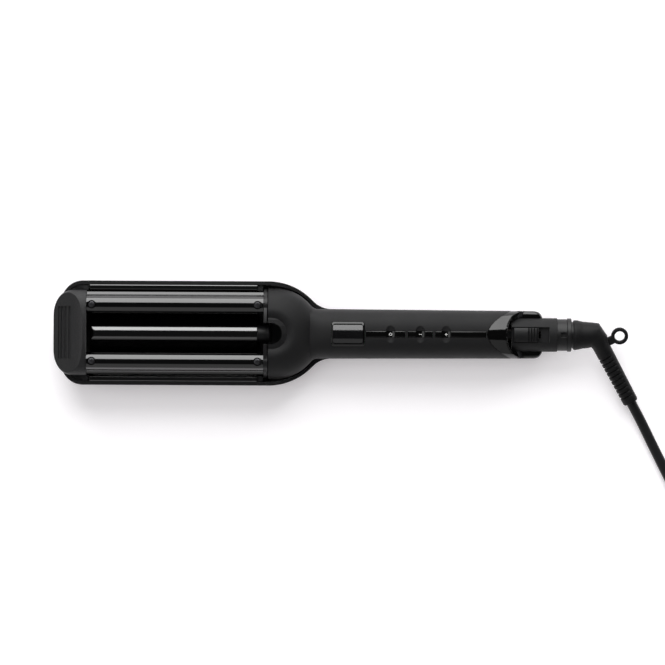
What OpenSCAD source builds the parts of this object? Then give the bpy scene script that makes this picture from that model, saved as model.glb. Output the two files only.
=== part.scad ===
// Hair waver: two round barrels on the upper jaw close into a three-ridged plate on the lower jaw.
// It lies closed on its lower jaw. +X runs from the cool tip to the cord and +Z is up.
// The origin is on the table, under the middle of the tool.

/* [Tool] */
// Length from the cool tip to the end of the swivel
tool_l = 311; // [305:1:320]
// Height of the hinge pins and of the cord's swivel above the table
axis_z = 17; // [16.6:0.1:17.6]
// Wall of the moulded housings
shell_wall = 2; // [1.8:0.1:2.2]

/* [Lower jaw] */
// Width of the lower jaw
jaw_w = 62.4; // [62:0.1:66]
// Height of the lower jaw's rim
jaw_h = 24.5; // [24.2:0.1:24.6]
// Radius of the lower jaw's front corners
jaw_corner_r = 13; // [10:0.5:15]
// How far the cool tip stands out past the lower jaw
tip_overhang = 4.5; // [3:0.5:6]
// How far the wave plate ends in front of the barrels' rear ends
plate_rear_gap = 3.9; // [3.5:0.1:8]
// Thickness of the wave plate
plate_t = 1.5; // [1.2:0.1:1.7]
// Height of the wave plate's two valleys
valley_z = 11; // [10.9:0.1:11.3]
// Radius of the middle ridge
ridge_r = 5.4; // [4.8:0.1:5.6]
// Height of the middle ridge over the valleys
ridge_h = 16.25; // [14:0.25:17]

/* [Barrels] */
// Length of the barrels
barrel_l = 105.5; // [101:0.5:108]
// Radius of a barrel's working face
nose_r = 6.7; // [6.4:0.1:6.8]
// Radius of a barrel's rounded back
crest_r = 5.4; // [5:0.1:5.8]
// Height of a barrel
barrel_h = 24; // [23:0.25:25]
// Wall of a barrel
barrel_wall = 1.4; // [1.2:0.1:1.6]
// Gap for the hair between a barrel and its valley
hair_gap = 1; // [0.8:0.1:1.2]

/* [Cool tip and dome] */
// Length of the cool tip
tip_l = 18.2; // [17:0.2:20]
// How far the cool tip stands out past the barrels on each side
tip_side = 0.5; // [0.2:0.1:1.5]
// Height of the cool tip
tip_h = 12; // [11.5:0.5:13]
// Depth of the finger grooves in the cool tip
tip_groove_d = 0.7; // [0.3:0.05:0.8]
// Height of the dome behind the barrels
dome_h = 19.5; // [18.5:0.5:21]
// Thickness of the collar between barrels and dome
collar_t = 2.4; // [2:0.1:3]
// Half width of the scoop that clears the middle ridge's rear cap
scoop_r = 6.3; // [6:0.1:6.6]

/* [Handle] */
// Width of the handle behind the dome
handle_w = 29.8; // [29:0.2:31]
// How much narrower each side gets towards the hinge
handle_taper = 0.6; // [0.2:0.1:0.8]
// Height of the upper arm's handle
upper_h = 15; // [14.5:0.25:16]
// Height of the lower arm's handle
lower_h = 15.5; // [15.3:0.1:15.8]
// Gap between the two arms at the handle
arm_gap = 3; // [2.7:0.1:3.4]

/* [Display and keys] */
// Length of the display's bezel
display_l = 19.9; // [16:0.1:22]
// Width of the display's bezel
display_w = 14.5; // [12:0.1:16]
// Width of the bead around the display
bezel_w = 1.1; // [0.8:0.1:1.6]
// Radius of the round lens over the display
lens_r = 7.6; // [7:0.1:12]
// How far the lens stands up above the handle
lens_rise = 0.4; // [0:0.1:1]
// Width of the three keys
key_w = 3.6; // [3:0.1:4.4]
// Length of the power key
power_key_l = 23.4; // [20:0.1:25]
// Length of the minus key
minus_key_l = 14.5; // [12:0.1:16]
// Width of the bars between keys
key_web = 1.8; // [1.2:0.1:2.4]
// How far a key can be pushed
key_travel = 0.8; // [0.5:0.1:0.9]
// Radius of the finger dimples
dimple_r = 8.1; // [6:0.1:10]
// Depth of the finger dimples
dimple_d = 0.7; // [0.3:0.1:0.9]

/* [Hinge and lock] */
// Distance from the hinge to the end of the swivel
hinge_back = 33.5; // [33:0.1:34]
// Diameter of the hinge pins
pin_d = 4; // [3:0.1:4.4]
// Radius of the yoke's eyes round the pins
hub_r = 4.2; // [3.8:0.1:4.3]
// Diameter of the tail tube
tube_d = 20.2; // [20:0.05:20.4]
// Diameter of the lead passage through the tail tube
tube_bore_d = 13; // [12.6:0.1:13.4]
// Width of the lock slider
slider_w = 8.5; // [7.5:0.1:9]
// Length of the lock slider's cap
slider_l = 14.6; // [13.6:0.1:15]
// How far the lock slider travels
lock_travel = 5.4; // [4.6:0.1:5.6]

/* [Swivel and boot] */
// Diameter of the swivel's stem
stem_d = 10; // [8:0.1:11]
// Diameter of the boot where it leaves the swivel
boot_d = 18; // [17:0.2:19]
// Diameter of the ribbed branch at its root
branch_d = 10.5; // [10:0.1:11.5]
// Diameter of the ribbed branch at the cord
branch_end_d = 9.2; // [8.6:0.1:9.8]
// Length of the ribbed branch
branch_l = 47; // [40:1:55]
// Distance between two ribs
rib_pitch = 3; // [2.5:0.1:4]
// Diameter of the hole in the hanging loop
loop_d = 6; // [5:0.2:8]
// Width of the hanging loop's rim
loop_rim = 2.15; // [1.6:0.05:3]
// Thickness of the hanging loop
loop_t = 3; // [2:0.2:4]

/* [Cord and plug] */
// Diameter of the cord
cord_d = 6; // [6:0.1:6.2]
// Width of the plug across its pins
plug_w = 35.3; // [34:0.1:37]
// Thickness of the plug
plug_t = 13.7; // [13:0.1:15]
// Diameter of the plug's pins
plug_pin_d = 4; // [4:0.1:4.8]
// Distance between the plug's pins
plug_pin_pitch = 18.6; // [18:0.1:19.2]

/* [Fits] */
// Radial clearance of a turning fit
run_fit = 0.05; // [0.02:0.01:0.08]
// Gap where one fixed piece sits in another
seat_gap = 0.1; // [0.05:0.01:0.15]
// Width of the visible seams
seam = 0.2; // [0.1:0.05:0.3]
// Gap between the arms where they pass each other
clear = 0.3; // [0.25:0.05:0.4]

/* [Hidden] */
$fn = 48;
eps = 0.02;
big = 400;

// Stations along the tool
x_end = tool_l / 2;
x_tip = -tool_l / 2;
x_lower = x_tip + tip_overhang;
end_plate_t = 1.7;
x_barrel = x_tip + tip_l + end_plate_t;
x_barrel_end = x_barrel + barrel_l;
x_plate = x_barrel + 1.6;
x_plate_end = x_barrel_end - plate_rear_gap;
plate_l = x_plate_end - x_plate;
x_collar = x_barrel_end + seam;
x_dome = x_collar + collar_t + seam;
x_dome_mid = x_dome + 4.3;
dome_gap = 2.1;
dome_r = jaw_w / 2 - shell_wall - dome_gap;
crease_w = handle_w / 2 + 2.5;
x_crease = x_dome_mid + sqrt(pow(dome_r, 2) - pow(crease_w, 2));
x_shoulder = x_dome + seam;
x_display = x_crease + 12.7;
x_keys = x_display + display_l + 0.8;
x_hinge = x_end - hinge_back;
x_ear = x_hinge + 3;
x_ear_flat = x_hinge + 11.4;
x_ear_end = x_hinge + 15.2;
tube_front = 3.5;
x_tube = x_hinge - tube_front;
x_tube_end = x_end - 9.7;
x_swivel_ring = x_end - 3.7;
x_swivel_ring_end = x_end - 1;
x_trim = x_hinge - 18;

// Heights
upper_z = lower_h + arm_gap;
handle_top = upper_z + upper_h;
nose_z = valley_z + hair_gap + nose_r;
liner_t = 1.4;
liner_e = shell_wall + clear;
liner_floor_z = liner_e + liner_t;
lip_half = 1.5;
lip_y = jaw_w / 2 - liner_e - lip_half;
valley_r = nose_r + hair_gap;
barrel_y = lip_y - lip_half - valley_r;
crest_y = barrel_y - nose_r + crest_r;
crest_z = valley_z + hair_gap + barrel_h - crest_r;
lip_r = 2 * (nose_r - crest_r);
ridge_z = valley_z + ridge_h - ridge_r;
lip_top_z = jaw_h - 0.5;
deck_t = 1.6;
deck_z = lower_h - 0.3;
upper_deck_z = upper_z + seam;
tip_z = jaw_h + clear;

// The number of steps round half a housing
arch_n = 22;

// ---- Functions ----

function lerp(a, b, t) = a + (b - a) * t;
function limit(t) = max(0, min(1, t));
function ease(t) = (1 - cos(180 * limit(t))) / 2;
function signed_power(v, e) = sign(v) * pow(abs(v), e);
// Height of a round of radius r at distance u from its start
function fillet(r, u) = u >= r ? 0 : r - sqrt(pow(r, 2) - pow(r - max(0, u), 2));
function arc(cx, cy, r, a0, a1, n = 12) =
  [for (i = [0:n]) let (a = lerp(a0, a1, i / n)) [cx + r * cos(a), cy + r * sin(a)]];
function mirrored(points) = [for (i = [len(points) - 1:-1:0]) [-points[i][0], points[i][1]]];

// Half a super-ellipse, from one rim over the crown to the other rim. A flatness over 1 cuts the crown flat.
function arch(w, h, power, flatness, n = arch_n) = [
  for (i = [0:n])
    let (a = 180 * i / n)
    [w * signed_power(cos(a), 2 / power), h * min(1, flatness * pow(sin(a), 2 / power))]
];

// Plan of the lower arm: a rounded front, the jaw, the shoulder and the tapering handle
shoulder_a = 46;
shoulder_drop = jaw_w / 2 - handle_w / 2;
shoulder_r = 0.68 * shoulder_drop / (1 - cos(shoulder_a));
neck_r = 0.29 * shoulder_drop / (1 - cos(shoulder_a));
x_slope = x_shoulder + shoulder_r * sin(shoulder_a);
x_neck = x_slope + 0.03 * shoulder_drop / tan(shoulder_a);
x_grip = x_neck + neck_r * sin(shoulder_a);
function taper(x) = handle_taper * limit((x - x_grip) / (x_hinge - x_grip));
function shoulder(x) =
  x <= x_shoulder ? jaw_w / 2
  : x <= x_slope ? jaw_w / 2 - shoulder_r + sqrt(pow(shoulder_r, 2) - pow(x - x_shoulder, 2))
  : x <= x_neck ? lerp(jaw_w / 2 - 0.68 * shoulder_drop, handle_w / 2 + 0.29 * shoulder_drop,
      (x - x_slope) / (x_neck - x_slope))
  : x <= x_grip ? handle_w / 2 + neck_r - sqrt(pow(neck_r, 2) - pow(x_grip - x, 2))
  : handle_w / 2 - taper(x);
function lower_half_w(x, inset) = shoulder(x) - inset - fillet(jaw_corner_r - inset, x - x_lower - inset);

// Belly and rim of the lower arm, which stands a little off the table between jaw and hinge
front_round_r = 8;
x_belly_end = x_hinge - 62;
function belly(x, inset) =
  inset + fillet(front_round_r - inset, x - x_lower - inset)
  + 1.2 * pow(sin(180 * limit((x - x_dome - 9) / (x_belly_end - x_dome - 9))), 2);
function rim(x) = lerp(jaw_h, lower_h, ease((x - x_dome - 3) / (x_crease - x_dome + 0.9)));
function lower_power(x) = lerp(3.6, 2.6, ease((x - x_dome) / 36));
belly_flat = 1.05;
function lower_arch(x, inset) =
  arch(lower_half_w(x, inset), rim(x) - belly(x, inset), lower_power(x), belly_flat);
// Half width of that arch at height z
function lower_side(x, z, inset) =
  let (depth = (rim(x) - z) / (belly_flat * (rim(x) - belly(x, inset))), n = lower_power(x))
  lower_half_w(x, inset) * pow(1 - pow(depth, n), 1 / n);

// Plan and crown of the upper arm: half a dome that runs into the handle
upper_power = 2.3;
tail_drop = 3.2;
x_drop = x_hinge - 19;
function dome_share(x) = sqrt(1 - pow(max(0, x - x_dome_mid) / dome_r, 2));
function crease(x, length) = pow(1 - limit((x - x_crease) / length), 3);
function upper_half_w(x) =
  x <= x_crease ? dome_r * dome_share(x)
  : handle_w / 2 - taper(x) + (crease_w - handle_w / 2) * crease(x, 6);
function upper_crown(x) =
  x <= x_crease ? dome_h * dome_share(x)
  : upper_h + (dome_h * crease_w / dome_r - upper_h) * crease(x, 14)
    - tail_drop * ease((x - x_drop) / (x_hinge - x_drop));
function upper_arch(x, inset) =
  arch(upper_half_w(x) - inset, upper_crown(x) - inset, upper_power, 1);

// A ring of a trough: its outside, then its inside, at station x. up is 1 for a roof and -1 for a tray.
function ring(x, z, up, outer, inner) =
  [for (p = concat(outer, inner)) [x, p[0], z + up * p[1]]];
function quad(a, b, c, d) = [[a, b, c], [a, c, d]];

// Stations of the front corner, closely spaced where the plan turns fast
function corner_stations(x0, r, n) = [for (i = [0:n]) x0 + r * (1 - cos(90 * i / n))];
function even_stations(x0, x1, n) = [for (i = [0:n]) lerp(x0, x1, i / n)];

// ---- Shape helpers ----

// Draws a YZ outline from x0 to x1
module along_x(x0, x1) {
  translate([x0, 0, 0]) rotate([90, 0, 90]) linear_extrude(x1 - x0) children();
}

// A round bar along X
module rod_x(x0, x1, r, y = 0, z = axis_z) {
  translate([x0, y, z]) rotate([0, 90, 0]) cylinder(r = r, h = x1 - x0);
}

// A round bar along Y
module rod_y(x, z, r, y0, y1) {
  translate([x, y0, z]) rotate([-90, 0, 0]) cylinder(r = r, h = y1 - y0);
}

// A box from corner to corner
module block(x0, x1, y0, y1, z0, z1) {
  translate([x0, y0, z0]) cube([x1 - x0, y1 - y0, z1 - z0]);
}

// The same box on both sides of the middle
module block_pair(x0, x1, y0, y1, z0, z1) {
  block(x0, x1, y0, y1, z0, z1);
  block(x0, x1, -y1, -y0, z0, z1);
}

// A housing lofted through trough rings of 2 * n points
module trough(rings, up) {
  n = len(rings[0]) / 2;
  last = len(rings) - 1;
  function at(r, side, i) = (2 * r + side) * n + i;
  walls = [
    for (r = [0:last - 1], i = [0:n - 2])
      each concat(
        quad(at(r, 0, i), at(r, 0, i + 1), at(r + 1, 0, i + 1), at(r + 1, 0, i)),
        quad(at(r, 1, i), at(r + 1, 1, i), at(r + 1, 1, i + 1), at(r, 1, i + 1)))
  ];
  rims = [
    for (r = [0:last - 1])
      each concat(
        quad(at(r, 0, 0), at(r + 1, 0, 0), at(r + 1, 1, 0), at(r, 1, 0)),
        quad(at(r, 0, n - 1), at(r, 1, n - 1), at(r + 1, 1, n - 1), at(r + 1, 0, n - 1)))
  ];
  ends = [
    for (i = [0:n - 2])
      each concat(
        quad(at(0, 0, i), at(0, 1, i), at(0, 1, i + 1), at(0, 0, i + 1)),
        quad(at(last, 0, i), at(last, 0, i + 1), at(last, 1, i + 1), at(last, 1, i)))
  ];
  faces = concat(walls, rims, ends);
  polyhedron(points = [for (r = rings) each r],
    faces = up > 0 ? [for (f = faces) [f[2], f[1], f[0]]] : faces);
}

// A solid lofted through closed convex rings of n points
module loft(rings, flip = false) {
  n = len(rings[0]);
  last = len(rings) - 1;
  sides = [
    for (r = [0:last - 1], i = [0:n - 1])
      each quad(r * n + i, r * n + (i + 1) % n, (r + 1) * n + (i + 1) % n, (r + 1) * n + i)
  ];
  ends = [
    for (i = [1:n - 2])
      each [[0, i + 1, i], [last * n, last * n + i, last * n + i + 1]]
  ];
  faces = concat(sides, ends);
  polyhedron(points = [for (r = rings) each r],
    faces = flip ? [for (f = faces) [f[2], f[1], f[0]]] : faces);
}

// A round tube swept along a route that is never vertical
function unit(v) = v / norm(v);
function heading(route, i) = unit(route[min(i + 1, len(route) - 1)] - route[max(i - 1, 0)]);
module sweep(route, r, sides) {
  loft([
    for (i = [0:len(route) - 1])
      let (t = heading(route, i), side = unit(cross(t, [0, 0, 1])), up = cross(side, t))
      [for (k = [0:sides - 1]) route[i] + r * (cos(360 * k / sides) * side + sin(360 * k / sides) * up)]
  ]);
}

// ---- Lower arm ----

// Space in which the yoke's eyes turn
module hub_space() {
  for (s = [-1, 1])
    rod_y(x_hinge, axis_z, hub_r + clear, s > 0 ? tube_d / 2 : -big / 2, s > 0 ? big / 2 : -tube_d / 2);
}

// The opening spring's well, the terminal block in front of it and the screws between them
x_spring = x_hinge - 34;
spring_r = 3.4;
spring_wire_r = 0.45;
well_r = spring_r + spring_wire_r + 0.6;
well_wall = 1.4;
block_l = 9.6;
x_block_end = x_spring - well_r - well_wall - clear;
x_block = x_block_end - block_l;
screw_head_r = 2.6;
boss_r = 3.2;
screw_x = [x_grip + 4, x_block - clear - boss_r, x_spring + well_r + well_wall + clear + boss_r];

jaw_stations = even_stations(lerp(x_shoulder, x_slope, 1 / 8), x_slope, 7);
neck_stations = even_stations(x_neck, x_grip, 4);
module lower_shell() {
  stations = concat(
    corner_stations(x_lower, front_round_r, 7),
    [x_lower + shell_wall, x_lower + shell_wall + eps, x_lower + jaw_corner_r - 1.5, x_lower + jaw_corner_r],
    [x_shoulder], jaw_stations, neck_stations, even_stations(x_grip + 6, x_belly_end, 5),
    [x_ear]);
  ordered = sorted(stations);
  color([0.11, 0.11, 0.12]) difference() {
    trough([
      for (x = ordered)
        let (open = x > x_lower + shell_wall + eps / 2,
          inner = lower_arch(max(x, x_lower + shell_wall + eps), shell_wall),
          shut = arch(lower_half_w(x, 0) - shell_wall, eps / 2, 2, 1))
        ring(x, rim(x), -1, lower_arch(x, 0), open ? inner : shut)
    ], -1);
    hub_space();
    for (x = screw_x) translate([x, 0, -1]) cylinder(r = screw_head_r + seat_gap, h = 6);
  }
}

// Sorts a short list of stations
function sorted(list) =
  len(list) < 2 ? list
  : let (mid = list[floor(len(list) / 2)])
    concat(sorted([for (v = list) if (v < mid) v]), [mid], sorted([for (v = list) if (v > mid) v]));

x_liner_end = x_plate_end + 5.5;
liner_top_z = nose_z;
// Height of the liner's floor at distance y from the middle
function liner_floor(y) =
  let (n = lower_power(x_dome), w = jaw_w / 2 - liner_floor_z)
  jaw_h - (jaw_h - liner_floor_z) * min(1, belly_flat * pow(1 - pow(y / w, n), 1 / n));
module lower_liner() {
  x0 = x_lower + liner_e;
  n = 14;
  stations = concat(
    corner_stations(x0, jaw_corner_r - liner_e, 5),
    [x0 + liner_t, x0 + liner_t + eps, x_liner_end]);
  function tray(x, inset) = [
    for (p = arch(lower_half_w(x, inset), jaw_h - belly(x, inset), lower_power(x_dome), belly_flat, n))
      [p[0], max(p[1], jaw_h - liner_top_z)]
  ];
  color([0.16, 0.16, 0.17]) trough([
    for (x = sorted(stations))
      let (open = x > x0 + liner_t + eps / 2,
        inner = tray(max(x, x0 + liner_t + eps), liner_e + liner_t),
        shut = [for (p = arch(lower_half_w(x, liner_e) - liner_t, eps / 2, 2, 1, n)) [p[0], p[1] + jaw_h - liner_top_z]])
      ring(x, jaw_h, -1, tray(x, liner_e), open ? inner : shut)
  ], -1);
}

// Plan of the jaw's inside, as a prism
module jaw_prism(inset, z0, z1) {
  r = jaw_corner_r - inset;
  x0 = x_lower + inset;
  w = jaw_w / 2 - inset;
  side = arc(x0 + r, w - r, r, 180, 90, 8);
  translate([0, 0, z0]) linear_extrude(z1 - z0)
    polygon(concat([for (p = side) [p[0], p[1]]], [[x_dome, w], [x_dome, -w]],
      [for (i = [len(side) - 1:-1:0]) [side[i][0], -side[i][1]]]));
}

x_front_cap_end = x_barrel - end_plate_t - 2 * clear;
shelf_half_w = 23.5;
leg_half_w = 11;
shelf_z0 = valley_z - plate_t - 1;
shelf_z1 = valley_z - seam;
module lower_front_cap() {
  wall_x = x_front_cap_end - shell_wall;
  color([0.10, 0.10, 0.10]) intersection() {
    union() {
      block(x_lower, x_front_cap_end, -jaw_w, jaw_w, liner_top_z + eps, jaw_h - 1);
      block(wall_x, x_front_cap_end, -shelf_half_w, shelf_half_w, shelf_z0, liner_top_z + 1);
      block(wall_x, x_plate - seat_gap, -shelf_half_w, shelf_half_w, shelf_z0, shelf_z1);
      block(wall_x, x_front_cap_end, -leg_half_w, leg_half_w, liner_floor_z + eps, shelf_z1);
    }
    jaw_prism(liner_e, 0, jaw_h);
  }
}

x_rear_cap_end = x_dome + 1;
cap_r = ridge_r - 0.33;
module lower_rear_cap() {
  x0 = x_plate_end + seat_gap;
  color([0.10, 0.10, 0.10]) union() {
    along_x(x0, x_rear_cap_end)
      polygon(concat([[cap_r, shelf_z0]], arc(0, ridge_z, cap_r, 0, 180, 16), [[-cap_r, shelf_z0]]));
    block(x0, x_dome + 1.8, -shelf_half_w, shelf_half_w, shelf_z0, shelf_z1);
    block(x_dome + 0.3, x_dome + 1.8, -shelf_half_w, shelf_half_w, shelf_z0, deck_z);
    block(x0, x0 + 2, -leg_half_w, leg_half_w, liner_floor_z + eps, shelf_z1);
  }
}

// Half the outline of the wave plate's top, from the middle ridge to the lip, thinned by inset
ridge_gap = norm([barrel_y, ridge_z - nose_z]);
flank_a = asin((ridge_r + valley_r) / ridge_gap) + atan((ridge_z - nose_z) / barrel_y);
pad_w = 8;
pad_t = 1.2;
function wave_top() = concat(
  arc(0, ridge_z, ridge_r, 90, 90 - flank_a, 8),
  arc(barrel_y, nose_z, valley_r, 270 - flank_a, 360, 14),
  arc(lip_y, lip_top_z, lip_half, 180, 0, 8));
function wave_under() = concat(
  [[lip_y + lip_half, nose_z]],
  arc(barrel_y, nose_z, valley_r + plate_t, 360, 270 - flank_a, 14),
  arc(0, ridge_z, ridge_r - plate_t, 90 - flank_a, 90, 8));
module wave_plate() {
  half = concat(wave_top(), wave_under());
  round_r = 3;
  color([0.10, 0.10, 0.11]) difference() {
    union() {
      along_x(x_plate, x_plate_end) polygon(concat(wave_top(), wave_under(), mirrored(wave_under()), mirrored(wave_top())));
      block_pair(x_plate + 8, x_plate_end - 8, barrel_y - pad_w / 2, barrel_y + pad_w / 2,
        valley_z - plate_t - pad_t, valley_z - plate_t / 2);
    }
    difference() {
      block(x_plate - 1, x_plate + round_r, -ridge_r, ridge_r, ridge_z + ridge_r - round_r, jaw_h + ridge_r);
      rod_y(x_plate + round_r, ridge_z + ridge_r - round_r, round_r, -ridge_r, ridge_r);
    }
  }
}

heater_t = 1.2;
heater_l = plate_l - 30;
x_heater = x_plate + (plate_l - heater_l) / 2;
pad_z = valley_z - plate_t - pad_t;
module plate_heaters() {
  color([0.88, 0.86, 0.80])
    block_pair(x_heater, x_heater + heater_l, barrel_y - pad_w / 2, barrel_y + pad_w / 2, pad_z - heater_t, pad_z);
}

// Waved leaf springs that press the heaters up against the plate
leaf_w = 3;
module plate_springs() {
  t = 0.4;
  waves = 5;
  z0 = liner_floor(barrel_y + leaf_w / 2) + seat_gap;
  z1 = pad_z - heater_t - eps;
  crown = [for (i = [0:waves * 8]) let (u = i / (waves * 8))
    [lerp(x_heater + 4, x_heater + heater_l - 4, u), z0 + (z1 - z0 - t) * (1 - cos(360 * waves * u)) / 2]];
  color([0.75, 0.76, 0.78]) for (s = [-1, 1])
    translate([0, s * barrel_y + leaf_w / 2, 0]) rotate([90, 0, 0]) linear_extrude(leaf_w)
      polygon(concat(crown, [for (i = [len(crown) - 1:-1:0]) crown[i] + [0, t]]));
}

fuse_r = 2;
module thermal_fuse() {
  z = liner_floor_z + fuse_r + run_fit;
  color([0.72, 0.60, 0.35]) union() {
    rod_x(x_heater + 26, x_heater + 37, fuse_r, 0, z);
    rod_x(x_heater + 12, x_heater + 51, 0.5, 0, z);
  }
}

// Flat cover that closes the lower arm from the plate to the hinge, with the spring's well
x_deck_end = x_hinge - 10;
module lower_deck() {
  stations = concat([x_dome + 2], jaw_stations, neck_stations, [x_deck_end]);
  color([0.13, 0.13, 0.14]) difference() {
    union() {
      loft([
        for (x = stations)
          let (w = lower_side(x, deck_z - deck_t, shell_wall) - clear)
          [[x, w, deck_z], [x, -w, deck_z], [x, -w, deck_z - deck_t], [x, w, deck_z - deck_t]]
      ], true);
      translate([x_spring, 0, 4]) cylinder(r = well_r + well_wall, h = deck_z - 4 - deck_t / 2);
      for (x = screw_x)
        translate([x, 0, belly(x, shell_wall) + seat_gap]) cylinder(r = boss_r, h = deck_z - deck_t / 2 - belly(x, shell_wall));
    }
    translate([x_spring, 0, 0]) cylinder(r = well_r, h = big);
    for (x = screw_x) translate([x, 0, 0]) cylinder(r = 1.3, h = deck_z - deck_t);
  }
}

module case_screws() {
  color([0.55, 0.56, 0.58]) for (x = screw_x) translate([x, 0, belly(x, 0)]) difference() {
    union() {
      translate([0, 0, 0.7]) cylinder(r = screw_head_r, h = shell_wall - 0.7 + seat_gap / 2);
      translate([0, 0, 1]) cylinder(r = 1.3, h = 9);
    }
    for (a = [0, 90]) rotate([0, 0, a]) translate([-1.6, -0.35, 0]) cube([3.2, 0.7, 1.3]);
  }
}

lead_r = 1.3;
lead_z = deck_z - deck_t - lead_r - run_fit;
lead_y = well_r + well_wall + clear + lead_r;
module terminal_block() {
  z0 = belly(x_block, shell_wall) + seat_gap;
  color([0.86, 0.84, 0.76]) difference() {
    union() {
      block(x_block, x_block_end, -lead_y - 1.6, lead_y + 1.6, z0 + 3, deck_z - deck_t - run_fit);
      block(x_block, x_block_end, -5, 5, z0, z0 + 4);
    }
    for (s = [-1, 1]) translate([(x_block + x_block_end) / 2, s * (lead_y - 2.4), z0 + 4]) cylinder(r = 1.2, h = 20);
  }
}

// Two leads that pass the spring's well and run through the tail tube to the swivel's contacts
module mains_leads() {
  color([0.45, 0.25, 0.15]) for (s = [-1, 1]) sweep([
    [x_block_end, s * lead_y, lead_z], [x_hinge - 20, s * lead_y, lead_z], [x_hinge - 15, s * 5, lead_z],
    [x_hinge - 10, s * 2, lead_z], [x_tube_end + 0.3, s * 2, lead_z]
  ], lead_r, 8);
}

// Compression spring that pushes the arms apart
module opening_spring() {
  turns = 6;
  steps = 12;
  z0 = belly(x_spring, shell_wall) + spring_wire_r + run_fit;
  z1 = upper_deck_z - spring_wire_r - run_fit;
  total = turns * steps;
  color([0.72, 0.73, 0.75]) translate([x_spring, 0, 0]) sweep([
    for (i = [0:total])
      let (a = 360 * i / steps)
      [spring_r * cos(a), spring_r * sin(a), lerp(z0, z1, ease(i / total) * 0.3 + 0.7 * i / total)]
  ], spring_wire_r, 6);
}

// ---- Hinge, lock and tail ----

ear_h = axis_z + 3;
plug_top_z = axis_z - hub_r - clear;
module tail_housing() {
  w = lower_half_w(x_ear, 0);
  function section(x, half, z, h) =
    [for (p = arch(half, h, lower_power(x_ear), belly_flat)) [x, p[0], z - p[1]]];
  function plug(x) =
    [for (p = lower_arch(x_ear, shell_wall + seat_gap)) [x, p[0], min(rim(x_ear) - p[1], plug_top_z)]];
  color([0.05, 0.05, 0.055]) difference() {
    loft([
      plug(x_hinge - 9),
      plug(x_ear + seam),
      section(x_ear + seam + eps, w, ear_h, ear_h),
      section(x_ear_flat, w - 0.1, ear_h, ear_h),
      section(x_ear_flat + 1.5, w - 1, ear_h - 0.4, ear_h - 0.6),
      section(x_ear_end, tube_d / 2 + 0.3, ear_h - 1.6, ear_h - 2.4)
    ], false);
    rod_x(x_tube, x_end, tube_d / 2);
    rod_x(x_hinge - 20, x_end, tube_bore_d / 2);
    hub_space();
    block(x_hinge - 30, x_ear + seam + eps, -big / 2, big / 2, plug_top_z, big);
    block(x_hinge - 30, x_end, -tube_d / 2, tube_d / 2, axis_z, big);
  }
}

slot_w = slider_w + 0.26;
x_slider = x_hinge - 2.1;
slot_z = axis_z + tube_d / 2 - 2.7;
x_slot_end = x_slider + slider_l + lock_travel + 1.2;
neck_x = x_slider + 6.6;
neck_l = 3;
neck_w = 3.6;
module tail_tube() {
  color([0.10, 0.10, 0.105]) difference() {
    rod_x(x_tube, x_tube_end, tube_d / 2);
    rod_x(x_tube - 1, x_end, tube_bore_d / 2);
    block(x_tube - 1, x_slot_end, -slot_w / 2, slot_w / 2, slot_z, big);
    block(neck_x - 1, neck_x + neck_l + lock_travel + 1, -neck_w / 2 - clear, neck_w / 2 + clear, axis_z, big);
    rod_y(x_hinge, axis_z, pin_d / 2, -big / 2, big / 2);
  }
}

hub_in = tube_d / 2 + 0.4;
hub_out = hub_in + 3.4;
module hinge_pins() {
  color([0.75, 0.76, 0.78]) union() {
    rod_y(x_hinge, axis_z, pin_d / 2, tube_bore_d / 2 + 0.1, hub_out);
    rod_y(x_hinge, axis_z, pin_d / 2, -hub_out, -tube_bore_d / 2 - 0.1);
  }
}

collar_r = tube_d / 2 - 0.6;
flange_r = stem_d / 2 + 1.3;
module tail_collar() {
  color([0.09, 0.09, 0.095]) difference() {
    rod_x(x_tube_end, x_swivel_ring, collar_r);
    rod_x(x_tube_end - 1, x_end, flange_r + clear);
    block(x_tube_end + 2, x_swivel_ring - 0.4, -1.45, 1.45, axis_z + collar_r - 1.3, big);
  }
}

module swivel_ring() {
  color([0.09, 0.09, 0.095]) difference() {
    rod_x(x_swivel_ring, x_swivel_ring_end, tube_d / 2 - 0.1);
    rod_x(x_swivel_ring - 1, x_end, stem_d / 2 + run_fit);
  }
}

x_flange = x_swivel_ring - 2.2;
module swivel_contacts() {
  color([0.80, 0.65, 0.30]) difference() {
    rod_x(x_tube_end + 0.4, x_flange - clear, flange_r);
    rod_x(x_tube_end + 1.2, x_end, flange_r - 1);
  }
}

// Cap with grip ridges, and under it a neck and an arm that ends in the hook
arm_w = 4.6;
arm_z0 = axis_z + 0.2;
arm_z1 = arm_z0 + 2;
hook_back = 23.1;
hook_z1 = arm_z0 + 8.4;
hook_t = 1.4;
hook_reach = 6.3;
x_hook = x_hinge - hook_back;
module lock_slider() {
  color([0.13, 0.13, 0.135]) difference() {
    union() {
      intersection() {
        block(x_slider, x_slider + slider_l, -slider_w / 2, slider_w / 2, slot_z + seat_gap, big);
        rod_x(x_slider - 1, x_end, tube_d / 2 + 0.9);
      }
      block(neck_x, neck_x + neck_l, -neck_w / 2, neck_w / 2, arm_z0, slot_z + 1);
      block(x_hook, neck_x + neck_l, -arm_w / 2, arm_w / 2, arm_z0, arm_z1);
      block(x_hook, x_hook + 1.5, -arm_w / 2, arm_w / 2, arm_z0, hook_z1);
      block(x_hook, x_hook + hook_reach, -arm_w / 2, arm_w / 2, hook_z1 - hook_t, hook_z1);
    }
    for (i = [0:2]) {
      x = x_slider + slider_l - 5.6 + 2.1 * i;
      block(x, x + 0.9, -slider_w, slider_w, axis_z + tube_d / 2 - 0.2, big);
    }
  }
}

module swivel_stem() {
  color([0.12, 0.12, 0.12]) union() {
    rod_x(x_flange, x_swivel_ring - seat_gap, flange_r);
    rod_x(x_flange, x_end, stem_d / 2);
    rod_x(x_swivel_ring_end + seat_gap, x_end, tube_d / 2 - 1.9);
  }
}

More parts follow.
